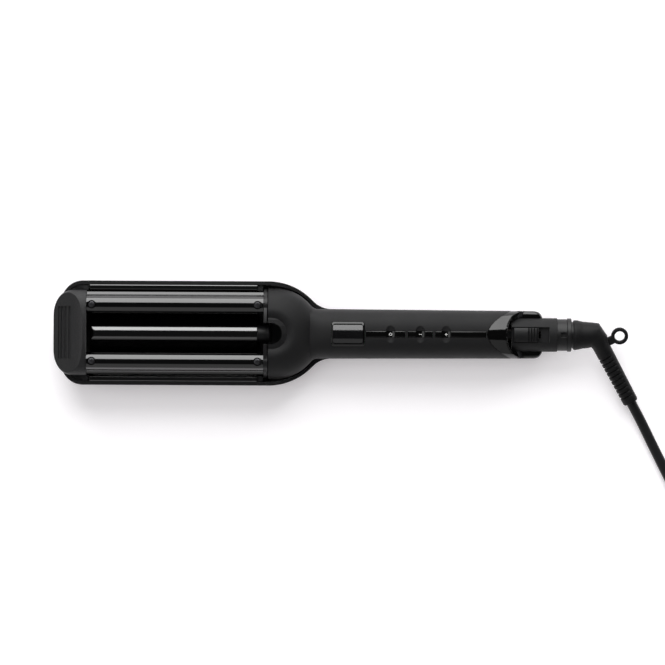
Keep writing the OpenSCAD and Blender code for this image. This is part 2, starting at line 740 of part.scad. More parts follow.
// The boot lies in a plane that dips towards the cord's side, about the swivel's axis
boot_dip = 14.5;
branch_a = 61.9;
elbow_x = 13.45;
rib_start = 14.3;
rib_foot = rib_start - 3;
groove_d = 0.9;
function branch_r(s) = lerp(branch_d, branch_end_d, limit(s / branch_l)) / 2;
rib_count = floor((branch_l - rib_start - 1) / rib_pitch);
loop_r = loop_d / 2 + loop_rim;
loop_u = 7.2;
loop_v = 12.7;
loop_stub_w = 5;

// An oval ring of the boot at x, y: its radius turned by a in the boot's plane, and the one across it
boot_sides = 28;
function boot_ring(x, y, a, radius, across) =
  [for (i = [0:boot_sides - 1])
    let (t = 360 * i / boot_sides)
    [x + radius * cos(t) * cos(a), y + radius * cos(t) * sin(a), across * sin(t)]];
function branch_ring(s, radius, across) =
  boot_ring(elbow_x + s * cos(branch_a), -s * sin(branch_a), 90 - branch_a, radius, across);
module swivel_boot() {
  grooves = [
    for (i = [1:rib_count - 1])
      let (s = rib_start + rib_pitch * i)
      each [[branch_r(s), s], [branch_r(s) - groove_d, s + 0.3],
        [branch_r(s) - groove_d, s + 1.1], [branch_r(s), s + 1.4]]
  ];
  color([0.09, 0.09, 0.09]) translate([x_end, 0, axis_z]) rotate([boot_dip, 0, 0]) difference() {
    union() {
      loft([
        boot_ring(0, 0, 90, boot_d / 2 - 0.4, boot_d / 2 - 0.4),
        boot_ring(1, 0, 90, boot_d / 2, boot_d / 2),
        boot_ring(7.3, 0, 90, boot_d / 2 - 1, boot_d / 2 - 1),
        boot_ring(elbow_x, 0, 74.2, boot_d / 2 - 1.5, boot_d / 2 - 1.6),
        branch_ring(6.4, branch_d / 2, boot_d / 2 - 2.4),
        branch_ring(10, branch_r(10), boot_d / 2 - 3.4),
        branch_ring(rib_start, branch_r(rib_start), branch_r(rib_start))
      ], true);
      translate([elbow_x, 0, 0]) rotate([0, 0, -branch_a]) union() {
        rotate([0, 90, 0]) rotate_extrude()
          polygon(concat([[0, rib_foot], [branch_r(0) - groove_d, rib_foot],
            [branch_r(rib_start) - groove_d, rib_start + 1.1], [branch_r(rib_start), rib_start + 1.4]], grooves,
            [[branch_end_d / 2, branch_l - 0.6], [branch_end_d / 2 - 0.6, branch_l], [0, branch_l]]));
        translate([loop_u - loop_stub_w / 2, 3, -loop_t / 2]) cube([loop_stub_w, loop_v - loop_r - 2.2, loop_t]);
        translate([loop_u, loop_v, -loop_t / 2]) cylinder(r = loop_r, h = loop_t);
      }
    }
    translate([elbow_x, 0, 0]) rotate([0, 0, -branch_a])
      translate([loop_u, loop_v, -loop_t]) cylinder(r = loop_d / 2, h = 2 * loop_t);
  }
}

// ---- Upper arm ----

// Solid outline of a barrel in its YZ section, thinned by inset
function barrel_outline(inset) = concat(
  arc(barrel_y, nose_z, nose_r - inset, 180, 360, 20),
  arc(barrel_y + nose_r, crest_z, lip_r + inset, 270 - asin(inset / (lip_r + inset)), 180, 5),
  arc(crest_y, crest_z, crest_r - inset, 0, 180, 16));

barrel_screw_x = [x_barrel + 3.2, x_barrel_end - 3.4];
barrel_screw_r = 2.4;
head_seat_z = crest_z + crest_r - barrel_wall - 0.7;
module barrel(side) {
  scale([1, side, 1]) difference() {
    along_x(x_barrel, x_barrel_end) difference() {
      polygon(barrel_outline(0));
      polygon(barrel_outline(barrel_wall));
    }
    for (x = barrel_screw_x)
      translate([x, crest_y, nose_z + nose_r]) cylinder(r = barrel_screw_r + seat_gap, h = big);
  }
}
module barrel_left() color([0.10, 0.10, 0.11]) barrel(1);
module barrel_right() color([0.10, 0.10, 0.11]) barrel(-1);

// A plug that fills a barrel's end, with the hole for its screw
plug_l = 6.4;
module barrel_plug(x0, x1, screw_at) {
  for (s = [-1, 1]) scale([1, s, 1]) difference() {
    along_x(x0, x1) polygon(barrel_outline(barrel_wall + seat_gap));
    translate([screw_at, crest_y, head_seat_z]) cylinder(r = barrel_screw_r + seat_gap, h = big);
    translate([screw_at, crest_y, head_seat_z - 8]) cylinder(r = 1.2, h = big);
  }
}

tongue_w = barrel_y + 1.8;
tongue_l = 7.5;
tongue_z0 = tip_z + 2.4;
tongue_z1 = tongue_z0 + 3.4;
x_bracket = x_barrel - end_plate_t;
module front_bracket() {
  color([0.12, 0.12, 0.12]) union() {
    barrel_plug(x_bracket, x_barrel + plug_l, barrel_screw_x[0]);
    block(x_bracket - tongue_l, x_barrel - seat_gap, -tongue_w, tongue_w, tongue_z0, tongue_z1);
  }
}

// Cool tip: a wedge with a hollowed finger pad and five grooves
tip_corner = 14.4;
pad_cut_r = 32;
tip_x1 = x_barrel - clear;
groove_half = 15.6;
pad_rear_x = tip_x1 - 2;
pad_cut_x = pad_rear_x - 21.5;
pad_cut_z = tip_z + tip_h + sqrt(pow(pad_cut_r, 2) - pow(pad_rear_x - pad_cut_x, 2));
function pad_z_at(x) = pad_cut_z - sqrt(pow(pad_cut_r, 2) - pow(x - pad_cut_x, 2));
module cool_tip() {
  round_l = 10.5;
  front_half = barrel_y + nose_r + tip_side - tip_corner;
  stations = concat([for (i = [0:7]) x_tip + round_l * (1 - cos(90 * i / 7))], [(x_tip + round_l + tip_x1) / 2, tip_x1]);
  function half(x) = front_half + tip_corner * sqrt(1 - pow(1 - limit((x - x_tip) / round_l), 2));
  function crown(x) = 6.5 + (tip_h - 6.5) * sqrt(1 - pow(1 - limit((x - x_tip) / tip_l), 2));
  color([0.12, 0.12, 0.12]) difference() {
    loft([
      for (x = stations)
        [for (p = arch(half(x), crown(x), 2.8, 1, 20)) [x, p[0], tip_z + p[1]]]
    ], true);
    rod_y(pad_cut_x, pad_cut_z, pad_cut_r, -big / 2, big / 2);
    for (i = [0:4]) {
      x = x_tip + 2 + 2.15 * i;
      rod_y(x, pad_z_at(x), tip_groove_d, -groove_half, groove_half);
    }
    block(x_bracket - tongue_l - seat_gap, tip_x1 + 1, -tongue_w - seat_gap, tongue_w + seat_gap,
      tongue_z0 - seat_gap, tongue_z1 + seat_gap);
    for (s = [-1, 1]) scale([1, s, 1])
      along_x(x_bracket - seat_gap, tip_x1 + 1) polygon(barrel_outline(barrel_wall));
  }
}

// Slot down through dome and collar that lets in the rear cap of the middle ridge
scoop_x = x_dome + 2.1;
module scoop(extra = 0) {
  r = scoop_r + extra;
  translate([scoop_x, 0, -1]) cylinder(r = r, h = big);
  block(x_barrel_end - 1, scoop_x, -r, r, -1, big - 1);
}

module upper_collar() {
  color([0.12, 0.12, 0.12]) difference() {
    union() {
      along_x(x_collar, x_collar + collar_t)
        polygon(arch(upper_half_w(x_dome), dome_h, upper_power, 1, 28) + [for (i = [0:28]) [0, upper_z]]);
      for (s = [-1, 1]) scale([1, s, 1]) along_x(x_barrel_end, x_collar + collar_t) polygon(barrel_outline(0.2));
      barrel_plug(x_barrel_end - plug_l, x_barrel_end + eps, barrel_screw_x[1]);
    }
    scoop();
  }
}

module rear_bracket() {
  stations = [x_dome, dome_stations[0], dome_stations[1], dome_stations[2], dome_stations[3]];
  inset = shell_wall + clear;
  lift = upper_deck_z + deck_t + seat_gap;
  color([0.12, 0.12, 0.12]) difference() {
    loft([
      for (x = stations)
        [for (p = upper_arch(x, inset)) [x, p[0], max(upper_z + p[1], lift)]]
    ], true);
    scoop();
  }
}

module barrel_screws() {
  color([0.35, 0.35, 0.37]) for (x = barrel_screw_x, s = [-1, 1]) translate([x, s * crest_y, head_seat_z]) difference() {
    union() {
      translate([0, 0, eps]) cylinder(r = barrel_screw_r, h = 1.8);
      translate([0, 0, -6]) cylinder(r = 1.2, h = 7);
    }
    translate([0, 0, 0.9]) cylinder(r = 1.15, h = 3, $fn = 6);
  }
}

bar_l = heater_l + 14;
x_bar = x_barrel + (barrel_l - bar_l) / 2;
module heat_bars() {
  r = nose_r - barrel_wall - seat_gap;
  color([0.78, 0.79, 0.81]) for (s = [-1, 1]) scale([1, s, 1])
    along_x(x_bar, x_bar + bar_l) polygon(arc(barrel_y, nose_z, r, 180, 360, 16));
}

module barrel_heaters() {
  color([0.88, 0.86, 0.80])
    block_pair(x_heater, x_heater + heater_l, crest_y - pad_w / 2, crest_y + pad_w / 2, nose_z, nose_z + heater_t);
}

// Spring clips that hold the heaters down on the bars
module barrel_clips() {
  r = crest_r - barrel_wall - seat_gap;
  z0 = nose_z + heater_t;
  t = 0.5;
  color([0.75, 0.76, 0.78]) for (s = [-1, 1]) scale([1, s, 1])
    for (x = [x_heater + 6, x_heater + heater_l - 26]) along_x(x, x + 20)
      polygon(concat([[crest_y + r, z0]], arc(crest_y, crest_z, r, 0, 180), [[crest_y - r, z0], [crest_y - r + t, z0]],
        arc(crest_y, crest_z, r - t, 180, 0), [[crest_y + r - t, z0]]));
}

// Crosswise curve of the handle's crown, for the display that follows it
crown_r = 20.6;
module crown_band(x0, x1, above, below) {
  a = 30;
  z = handle_top - crown_r;
  along_x(x0, x1) polygon(concat(arc(0, z, crown_r + above, 90 - a, 90 + a, 20), arc(0, z, crown_r - below, 90 + a, 90 - a, 20)));
}

// Prism with rounded corners over the display
module display_prism(inset) {
  r = 1.8 - inset / 2;
  x0 = x_display + inset;
  x1 = x_display + display_l - inset;
  w = display_w / 2 - inset;
  translate([0, 0, upper_z + 4]) linear_extrude(20)
    polygon(concat(arc(x1 - r, w - r, r, 0, 90, 5), arc(x0 + r, w - r, r, 90, 180, 5),
      arc(x0 + r, r - w, r, 180, 270, 5), arc(x1 - r, r - w, r, 270, 360, 5)));
}

// The three keys: start, length and the place of the finger dimple
x_minus = x_keys + power_key_l + key_web;
x_plus = x_minus + minus_key_l + key_web;
plus_key_l = x_trim - 1.1 - x_plus;
key_starts = [x_keys, x_minus, x_plus];
key_lengths = [power_key_l, minus_key_l, plus_key_l];
key_spots = [x_minus - key_web - 8.7, x_minus + minus_key_l / 2, x_plus + 6.4];
key_slack = 0.1;

module finger_dimples() {
  for (x = key_spots) rod_y(x, handle_top - dimple_d + dimple_r, dimple_r, -big / 2, big / 2);
}

// Plan of the glossy tail trim: everything behind a parabola whose tip points at the keys
trim_edge_w = handle_w / 2 - 0.5;
function trim_edge(y) = x_trim + 0.062 * pow(y, 2) + 0.000056 * pow(y, 4);
module trim_prism(inset) {
  steps = 12;
  edge = [for (i = [-steps:steps]) let (y = trim_edge_w * i / steps) [trim_edge(y) + inset, y]];
  translate([0, 0, -1]) linear_extrude(big)
    polygon(concat(edge, [[edge[0][0], big], [x_end, big], [x_end, -big], [edge[0][0], -big]]));
}

dome_stations = even_stations(x_dome_mid, x_crease, 9);
crease_stations = even_stations(x_crease + 1.2, x_crease + 6, 4);
module upper_shell() {
  stations = concat([x_dome], dome_stations, crease_stations,
    [x_crease + 10, x_crease + 14, x_hinge - 26, x_hinge - 20, x_hinge - 14, x_hinge - 8, x_hinge - 2]);
  color([0.12, 0.12, 0.125]) difference() {
    trough([for (x = stations) ring(x, upper_z, 1, upper_arch(x, 0), upper_arch(x, shell_wall))], 1);
    scoop();
    translate([scoop_x, 0, upper_z + dome_h - 4]) cylinder(r1 = scoop_r - 1, r2 = scoop_r + 4, h = 4.4);
    display_prism(-seat_gap);
    for (i = [0:2])
      block(key_starts[i] - key_slack, key_starts[i] + key_lengths[i] + key_slack,
        -key_w / 2 - key_slack, key_w / 2 + key_slack, handle_top - 8, big);
    finger_dimples();
    trim_prism(0);
    hub_space();
  }
}

x_upper_deck_end = x_hinge - hook_back - 2.4;
module upper_deck() {
  stations = concat([x_dome], dome_stations, crease_stations, [x_upper_deck_end]);
  z0 = upper_deck_z;
  color([0.13, 0.13, 0.14]) difference() {
    loft([
      for (x = stations)
        let (w = upper_half_w(x) - shell_wall - clear)
        [[x, w, z0 + deck_t], [x, -w, z0 + deck_t], [x, -w, z0], [x, w, z0]]
    ], true);
    scoop();
  }
}

// Its roof: a flat stripe along the middle and a straight facet on each side
stripe_half = 2.5;
facet_fall = 0.445;
function trim_arch(x, inset) =
  let (crown = upper_crown(x) - inset)
  [for (p = upper_arch(x, inset)) [p[0], min(p[1], crown - facet_fall * max(0, abs(p[0]) - stripe_half))]];

module tail_trim() {
  stations = [x_hinge - 20, x_hinge - 16, x_hinge - 12, x_hinge - 8, x_hinge - 4, x_hinge];
  back_r = 18;
  back_x = x_hinge - 5.75 + back_r;
  color([0.04, 0.04, 0.045]) difference() {
    intersection() {
      trough([for (x = stations) ring(x, upper_z, 1, trim_arch(x, 0), trim_arch(x, shell_wall))], 1);
      trim_prism(seam);
    }
    translate([back_x, 0, 0]) cylinder(r = back_r, h = big);
    hub_space();
  }
}

x_yoke = x_hinge - 10.5;
yoke_l = 3.1;
leg_out = handle_w / 2 - handle_taper - shell_wall - 0.5;
module hinge_yoke() {
  color([0.55, 0.56, 0.58]) difference() {
    union() {
      block(x_yoke, x_yoke + yoke_l, -9.3, 9.3, axis_z + 4.5, axis_z + 9);
      block_pair(x_yoke, x_yoke + yoke_l, arm_w / 2 + 2.5, leg_out, axis_z + 0.4, axis_z + 5);
      block_pair(x_yoke, x_hinge, hub_in, leg_out, axis_z + 0.4, axis_z + hub_r);
      for (s = [-1, 1]) rod_y(x_hinge, axis_z, hub_r, s > 0 ? hub_in : -hub_out, s > 0 ? hub_out : -hub_in);
    }
    rod_y(x_hinge, axis_z, pin_d / 2 + run_fit, -big / 2, big / 2);
  }
}

keeper_z0 = axis_z + 5;
keeper_z1 = hook_z1 - hook_t - 0.4;
module lock_keeper() {
  x0 = x_hook + 1.5 + lock_travel + 0.3;
  color([0.75, 0.76, 0.78]) union() {
    block(x0, x_yoke, -4, 4, keeper_z0, keeper_z1);
    block(x_yoke - 0.9, x_yoke, -6, 6, axis_z + 4.5, axis_z + 6.8);
  }
}

module display_bezel() {
  color([0.07, 0.07, 0.075]) intersection() {
    crown_band(x_display - 1, x_display + display_l + 1, 0.35, 2.2);
    difference() {
      display_prism(0);
      display_prism(bezel_w);
    }
  }
}

lens_z0 = handle_top - 3.9;
module display_lens() {
  x1 = x_display + display_l;
  color([0.20, 0.21, 0.23]) intersection() {
    display_prism(bezel_w + seat_gap);
    rod_x(x_display, x1, lens_r, 0, handle_top + lens_rise - lens_r);
    block(x_display, x1, -display_w / 2, display_w / 2, lens_z0, handle_top + 1);
  }
}

board_z = upper_deck_z + deck_t + 3.6;
board_t = 1.6;
module display_module() {
  color([0.62, 0.66, 0.62])
    block(x_display + bezel_w + 0.6, x_display + display_l - bezel_w - 0.6, -display_w / 2 + 2, display_w / 2 - 2,
      board_z + board_t, lens_z0 - seat_gap);
}

board_half_w = handle_w / 2 - 5.4;
module control_board() {
  x0 = x_display - 4.7;
  x1 = x_upper_deck_end - 0.6;
  foot_l = 3;
  color([0.10, 0.35, 0.18]) union() {
    block(x0, x1, -board_half_w, board_half_w, board_z, board_z + board_t);
    for (x = [x0 + 4, (x0 + x1) / 2, x1 - 2 - foot_l])
      block_pair(x, x + foot_l, board_half_w - 3.5, board_half_w - 0.5, upper_deck_z + deck_t, board_z + eps);
  }
}

switch_h = 3.1;
module key_switches() {
  color([0.30, 0.30, 0.31]) for (x = key_spots) {
    translate([x - 2.25, -2.25, board_z + board_t]) cube([4.5, 4.5, switch_h]);
    translate([x, 0, board_z + board_t + switch_h - eps]) cylinder(r = 1.6, h = 0.5);
  }
}

// Rails under the keys that keep them straight
flange_top_z = handle_top - shell_wall - clear;
flange_t = 0.9;
flange_half_w = key_w / 2 + 0.9;
module key_guide() {
  x1 = x_upper_deck_end - 0.6;
  z1 = handle_top - shell_wall - 0.9;
  color([0.16, 0.16, 0.17]) block_pair(x_keys, x1, flange_half_w + 0.2, flange_half_w + 1.4, board_z + board_t, z1);
}

module key(i) {
  x0 = key_starts[i];
  x1 = x0 + key_lengths[i];
  spot = key_spots[i];
  stem_top = board_z + board_t + switch_h + 0.5 + key_travel + 0.15;
  color([0.05, 0.05, 0.055]) difference() {
    union() {
      block(x0, x1, -key_w / 2, key_w / 2, flange_top_z - flange_t, handle_top - 0.05);
      block(x0, x1, -flange_half_w, flange_half_w, flange_top_z - flange_t, flange_top_z);
      translate([spot, 0, stem_top]) cylinder(r = 1.2, h = flange_top_z - stem_top - flange_t / 2);
    }
    finger_dimples();
  }
}
module power_key() key(0);
module minus_key() key(1);
module plus_key() key(2);

// ---- Cord, coil and plug ----

// The cord leaves the boot, comes down on the table and runs into the coil
run_route = [
  [193.8, -45, 5.4], [198.3, -53.5, 4], [203, -63, 3.4], [208, -73, 3.1], [213, -83, 3.1],
  [217.5, -92, 3.1], [221, -99, 3.1]
];
// It leaves the top of the coil and comes down to the plug
end_route = [
  [301.3, -116.5, 21], [308.5, -98, 19.5], [311, -86, 15], [311, -74, 10], [308, -62, 5.4], [302, -52, 3.3],
  [295, -44, 3.9], [289, -37, 6], [287, -31, 6.8]
];
coil_x = 264;
coil_y = -95;
coil_columns = 3;
coil_layers = 4;
coil_mid_r = 34.5;
coil_in_r = coil_mid_r - coil_columns * cord_d / 2;
coil_out_r = coil_mid_r + coil_columns * cord_d / 2;
coil_h = coil_layers * cord_d;
cord_sides = 10;
branch_tip = branch_l + seat_gap;
branch_end = [
  x_end + elbow_x + branch_tip * cos(branch_a),
  -branch_tip * sin(branch_a) * cos(boot_dip),
  axis_z - branch_tip * sin(branch_a) * sin(boot_dip)
];
plug_x = 287;
plug_y = -27;
plug_l_body = 33;

module cord_run() color([0.08, 0.08, 0.08]) sweep(concat([branch_end], run_route), cord_d / 2, cord_sides);

tie_t = 0.8;
tie_w = 9;
module cord_coil() {
  color([0.08, 0.08, 0.08]) translate([coil_x, coil_y, 0]) difference() {
    rotate_extrude() translate([coil_in_r, 0]) square([coil_out_r - coil_in_r, coil_h]);
    translate([-tie_w / 2, coil_in_r - 1, -1]) cube([tie_w, coil_out_r - coil_in_r + 2, 1 + tie_t]);
  }
}

module cord_end() {
  color([0.08, 0.08, 0.08])
    sweep(concat(end_route, [[plug_x, plug_y - seat_gap, plug_t / 2]]), cord_d / 2, cord_sides);
}

module cord_tie() {
  r0 = coil_in_r - 2.2;
  r1 = coil_out_r + 0.3;
  color([0.05, 0.05, 0.05]) translate([coil_x, coil_y, 0]) difference() {
    translate([-tie_w / 2, r0, 0]) cube([tie_w, r1 + tie_t - r0, coil_h + tie_t + 0.1]);
    translate([-tie_w, r0 + tie_t, tie_t]) cube([2 * tie_w, r1 - r0 - tie_t, coil_h + 0.1 - tie_t]);
  }
}

module plug_body() {
  neck = 6;
  shoulder_l = 12;
  outline = [
    [-neck, 0], [neck, 0], [neck + 0.5, 8], [plug_w / 2 - 2, shoulder_l + 4], [plug_w / 2, shoulder_l + 8],
    [plug_w / 2, plug_l_body], [-plug_w / 2, plug_l_body], [-plug_w / 2, shoulder_l + 8],
    [-plug_w / 2 + 2, shoulder_l + 4], [-neck - 0.5, 8]
  ];
  color([0.07, 0.07, 0.07]) translate([plug_x, plug_y, 0]) difference() {
    linear_extrude(plug_t) polygon(outline);
    for (s = [-1, 1])
      translate([s * plug_pin_pitch / 2, plug_l_body - 8, plug_t / 2]) rotate([-90, 0, 0]) cylinder(r = plug_pin_d / 2, h = 20);
  }
}

module plug_pins() {
  pin_l = 19;
  color([0.80, 0.81, 0.83]) translate([plug_x, plug_y + plug_l_body, plug_t / 2]) for (s = [-1, 1])
    translate([s * plug_pin_pitch / 2, -8, 0]) rotate([-90, 0, 0]) union() {
      cylinder(r = plug_pin_d / 2, h = 8 + pin_l - 1);
      translate([0, 0, 7 + pin_l]) cylinder(r1 = plug_pin_d / 2, r2 = plug_pin_d / 2 - 1, h = 1);
    }
}

lower_shell();
lower_liner();
lower_front_cap();
lower_rear_cap();
wave_plate();
plate_heaters();
plate_springs();
thermal_fuse();
lower_deck();
case_screws();
terminal_block();
mains_leads();
opening_spring();
tail_housing();
tail_tube();
hinge_pins();
tail_collar();
swivel_ring();
swivel_contacts();
lock_slider();
swivel_stem();
swivel_boot();
upper_shell();
upper_deck();
tail_trim();
hinge_yoke();
lock_keeper();
upper_collar();
rear_bracket();
front_bracket();
cool_tip();
barrel_left();
barrel_right();
barrel_screws();
heat_bars();
barrel_heaters();
barrel_clips();
display_bezel();
display_lens();
display_module();
control_board();
key_switches();
key_guide();
power_key();
minus_key();
plus_key();
cord_run();
cord_coil();
cord_end();
cord_tie();
plug_body();
plug_pins();
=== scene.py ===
from math import asin, atan, ceil, copysign, cos, degrees, hypot, pi, radians, sin, sqrt

import bmesh
import bpy
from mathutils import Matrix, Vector


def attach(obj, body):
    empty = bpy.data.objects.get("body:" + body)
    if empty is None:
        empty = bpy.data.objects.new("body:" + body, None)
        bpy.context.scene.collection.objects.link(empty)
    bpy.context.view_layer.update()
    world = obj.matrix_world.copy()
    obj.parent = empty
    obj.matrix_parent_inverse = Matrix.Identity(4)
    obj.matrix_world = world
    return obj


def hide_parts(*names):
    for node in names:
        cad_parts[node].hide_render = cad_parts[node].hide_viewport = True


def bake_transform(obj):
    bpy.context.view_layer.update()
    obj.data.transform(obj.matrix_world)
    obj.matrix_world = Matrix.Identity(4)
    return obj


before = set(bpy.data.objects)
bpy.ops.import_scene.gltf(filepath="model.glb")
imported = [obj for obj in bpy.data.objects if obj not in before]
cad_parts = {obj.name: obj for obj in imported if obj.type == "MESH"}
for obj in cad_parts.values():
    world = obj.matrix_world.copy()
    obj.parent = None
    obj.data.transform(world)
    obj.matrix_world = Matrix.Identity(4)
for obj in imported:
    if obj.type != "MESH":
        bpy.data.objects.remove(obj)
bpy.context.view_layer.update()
MM = 0.001
scene = bpy.context.scene


# ---- Studio ----
# A matt white paper table seen from straight above. One large soft panel stands low on the far side
# of the tool, with weak cards on the near and the left side and a ceiling that gloss doesn't show.
# Overhead it is dark to gloss, so the gloss black pieces stay black but for the light at their edges.
def linear(code):
    """The linear colour of an sRGB hex value."""
    parts = [int(code[i:i + 2], 16) / 255 for i in (1, 3, 5)]
    return (*[c / 12.92 if c <= 0.04045 else ((c + 0.055) / 1.055) ** 2.4 for c in parts], 1.0)


def add_object(name, data):
    thing = bpy.data.objects.new(name, data)
    scene.collection.objects.link(thing)
    return thing


def add_node(tree, kind, inputs=(), **settings):
    """Adds a shader node. An input is given a value, or a socket that it is linked to."""
    node = tree.nodes.new("ShaderNode" + kind)
    for name, value in settings.items():
        setattr(node, name, value)
    for name, value in dict(inputs).items():
        if isinstance(value, bpy.types.NodeSocket):
            tree.links.new(value, node.inputs[name])
        else:
            node.inputs[name].default_value = value
    return node


def new_material(name, **finish):
    """A Principled material. Returns it, its tree, its shader and the object's own coordinates."""
    material = bpy.data.materials.new(name)
    material.use_nodes = True
    tree = material.node_tree
    shader = tree.nodes["Principled BSDF"]
    for socket, value in finish.items():
        shader.inputs[socket.replace("_", " ")].default_value = value
    return material, tree, shader, add_node(tree, "TexCoord").outputs["Object"]


def lay_surface(tree, shader, tone, gloss=None, relief=None, span=(0, 1)):
    """Gives a shader its patterns. tone is a pattern with its dark and light colours, gloss one with the
    roughness at both ends of its span, relief one with its strength and its depth in mm."""
    mix = add_node(tree, "Mix", {0: tone[0].outputs["Fac"], 6: linear(tone[1]), 7: linear(tone[2])},
                   data_type="RGBA")
    tree.links.new(mix.outputs[2], shader.inputs["Base Color"])
    if gloss:
        ends = {"From Min": span[0], "From Max": span[1], "To Min": gloss[1], "To Max": gloss[2]}
        rough = add_node(tree, "MapRange", {"Value": gloss[0].outputs["Fac"], **ends})
        tree.links.new(rough.outputs[0], shader.inputs["Roughness"])
    if relief:
        height, strength, depth = relief[0].outputs["Fac"], relief[1], relief[2] * MM
        bump = add_node(tree, "Bump", {"Height": height, "Strength": strength, "Distance": depth})
        tree.links.new(bump.outputs[0], shader.inputs["Normal"])


CAMERA_HEIGHT = 2.8
TOOL_HEIGHT = 0.017
VIEW_WIDTH = 0.399
camera = add_object("studio_camera", bpy.data.cameras.new("studio_camera"))
camera.location = (0.01125, 0.0008, TOOL_HEIGHT + CAMERA_HEIGHT)
camera.rotation_euler = (0, 0, radians(0.3))
camera.data.angle = 2 * atan(VIEW_WIDTH / 2 / CAMERA_HEIGHT)
camera.data.clip_start = 0.05
scene.camera = camera
scene.view_settings.view_transform = "Standard"

# The paper reads pure white to the eye, and keeps a share of the tool's shadow
PAPER_LIFT, PAPER_REACH = 0.16, 14
paper, tree, shader, place = new_material("matt_white_paper", Roughness=0.9, Specular_IOR_Level=0.2)
fibre = add_node(tree, "TexNoise", {"Vector": place, "Scale": 700, "Detail": 3})
lay_surface(tree, shader, (fibre, "#f6f5f8", "#fbfafb"))
seen = add_node(tree, "LightPath")
plain = seen.outputs["Is Camera Ray"]
for ray in ("Is Glossy Ray", "Is Transmission Ray"):
    plain = add_node(tree, "Math", {0: plain, 1: seen.outputs[ray]}, operation="MAXIMUM").outputs[0]
lift = add_node(tree, "Math", {0: plain, 1: PAPER_LIFT}, operation="MULTIPLY")
white = add_node(tree, "Emission", {"Color": linear("#fff6f9"), "Strength": lift.outputs[0]})
lifted = add_node(tree, "AddShader", {0: shader.outputs[0], 1: white.outputs[0]})
tree.links.new(lifted.outputs[0], tree.nodes["Material Output"].inputs["Surface"])
sweep = bpy.data.meshes.new("paper_sweep")
corners = [(x * PAPER_REACH, y * PAPER_REACH, 0) for x, y in ((-1, -1), (1, -1), (1, 1), (-1, 1))]
sweep.from_pydata(corners, [], [(0, 1, 2, 3)])
sweep.materials.append(paper)
add_object("paper_sweep", sweep)


def soft_panel(name, toward, spread, strength, mirrored=True):
    """A round, soft source far away: toward is the direction to it, spread the angle that it fills.
    One that isn't mirrored lights the colours, and gloss doesn't show it."""
    lamp = bpy.data.lights.new(name, "SUN")
    lamp.angle = radians(spread)
    lamp.energy = strength
    holder = add_object(name, lamp)
    holder.rotation_euler = Vector(toward).to_track_quat("Z", "Y").to_euler()
    holder.visible_glossy = mirrored


def tilted(x, y, tilt):
    """The direction at an angle of tilt from straight up, towards x, y."""
    lean = radians(tilt)
    return (x * sin(lean), y * sin(lean), cos(lean))


soft_panel("key_panel", tilted(0, 1, 58), 62, 3.8)
soft_panel("near_card", tilted(0, -1, 72), 76, 0.56)
soft_panel("left_card", tilted(-1, 0, 46), 40, 0.5)
soft_panel("ceiling_fill", (0, 0, 1), 62, 1.1, mirrored=False)

# A dim grey room, which the camera sees as white
ROOM_GLOW = 0.035
room = bpy.data.worlds.new("dim_room")
room.use_nodes = True
tree = room.node_tree
seen = add_node(tree, "LightPath")
glow = add_node(tree, "MapRange", {"Value": seen.outputs["Is Camera Ray"], "To Min": ROOM_GLOW, "To Max": 1})
tree.links.new(glow.outputs[0], tree.nodes["Background"].inputs["Strength"])
tree.nodes["Background"].inputs["Color"].default_value = linear("#ffffff")
scene.world = room


# ---- Mains cord and its tie ----
# A round two-core mains cord in black PVC, extruded, with the faint matt skin that PVC has. It
# leaves the branch of the swivel boot, comes down on the table and is wound into a coil, which
# a strap of hook tape holds. The route repeats the points of the solid model.
def add_piece(name, shape, material, body, replaces=(), cuts=(), edge=0, smooth=40):
    """A mesh piece that rides on a body. cuts are shapes taken out of it, edge is the round on its
    edges in mm, and edges sharper than smooth degrees stay sharp."""
    piece = solid_object(name, shape)
    cutters = [solid_object("cutter", cut) for cut in cuts]
    for cutter in cutters:
        boolean = piece.modifiers.new("cut", "BOOLEAN")
        boolean.object, boolean.solver = cutter, "MANIFOLD"
    if edge:
        bevel = piece.modifiers.new("edge", "BEVEL")
        bevel.width, bevel.segments, bevel.angle_limit = edge * MM, 2, radians(42)
    if cuts or edge:
        bpy.context.view_layer.update()
        finished = bpy.data.meshes.new_from_object(piece.evaluated_get(bpy.context.evaluated_depsgraph_get()))
        piece.modifiers.clear()
        piece.data = finished
        finished.name = name
    for cutter in cutters:
        bpy.data.meshes.remove(cutter.data)
    mesh = piece.data
    mesh.materials.clear()
    mesh.materials.append(material)
    mesh.polygons.foreach_set("material_index", [0] * len(mesh.polygons))
    mesh.polygons.foreach_set("use_smooth", [True] * len(mesh.polygons))
    mesh.set_sharp_from_angle(angle=radians(smooth))
    if edge:
        piece.modifiers.new("flat_faces", "WEIGHTED_NORMAL").keep_sharp = True
    if body:
        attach(piece, body)
    if replaces:
        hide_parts(*replaces)
    return piece


def solid_object(name, shape):
    """An object of a closed shape, its faces turned outwards."""
    points, faces = shape
    mesh = bpy.data.meshes.new(name)
    mesh.from_pydata([tuple(p) for p in points], [], faces)
    edit = bmesh.new()
    edit.from_mesh(mesh)
    bmesh.ops.recalc_face_normals(edit, faces=edit.faces)
    edit.to_mesh(mesh)
    edit.free()
    return add_object(name, mesh)


def together(*shapes):
    """Several shapes as one."""
    points, faces = [], []
    for more_points, more_faces in shapes:
        faces += [tuple(i + len(points) for i in face) for face in more_faces]
        points += more_points
    return points, faces


def loft(rings, closed=False):
    """Points in metres and faces of a solid through rings given in mm. A closed one joins up like a tyre."""
    size, count = len(rings[0]), len(rings)
    points = [Vector(p) * MM for ring in rings for p in ring]
    faces = []
    for i in range(count if closed else count - 1):
        a, b = i * size, (i + 1) % count * size
        for k in range(size):
            n = (k + 1) % size
            faces.append((a + k, a + n, b + n, b + k))
    if not closed:
        faces += [tuple(range(size))[::-1], tuple(range((count - 1) * size, count * size))]
    return points, faces


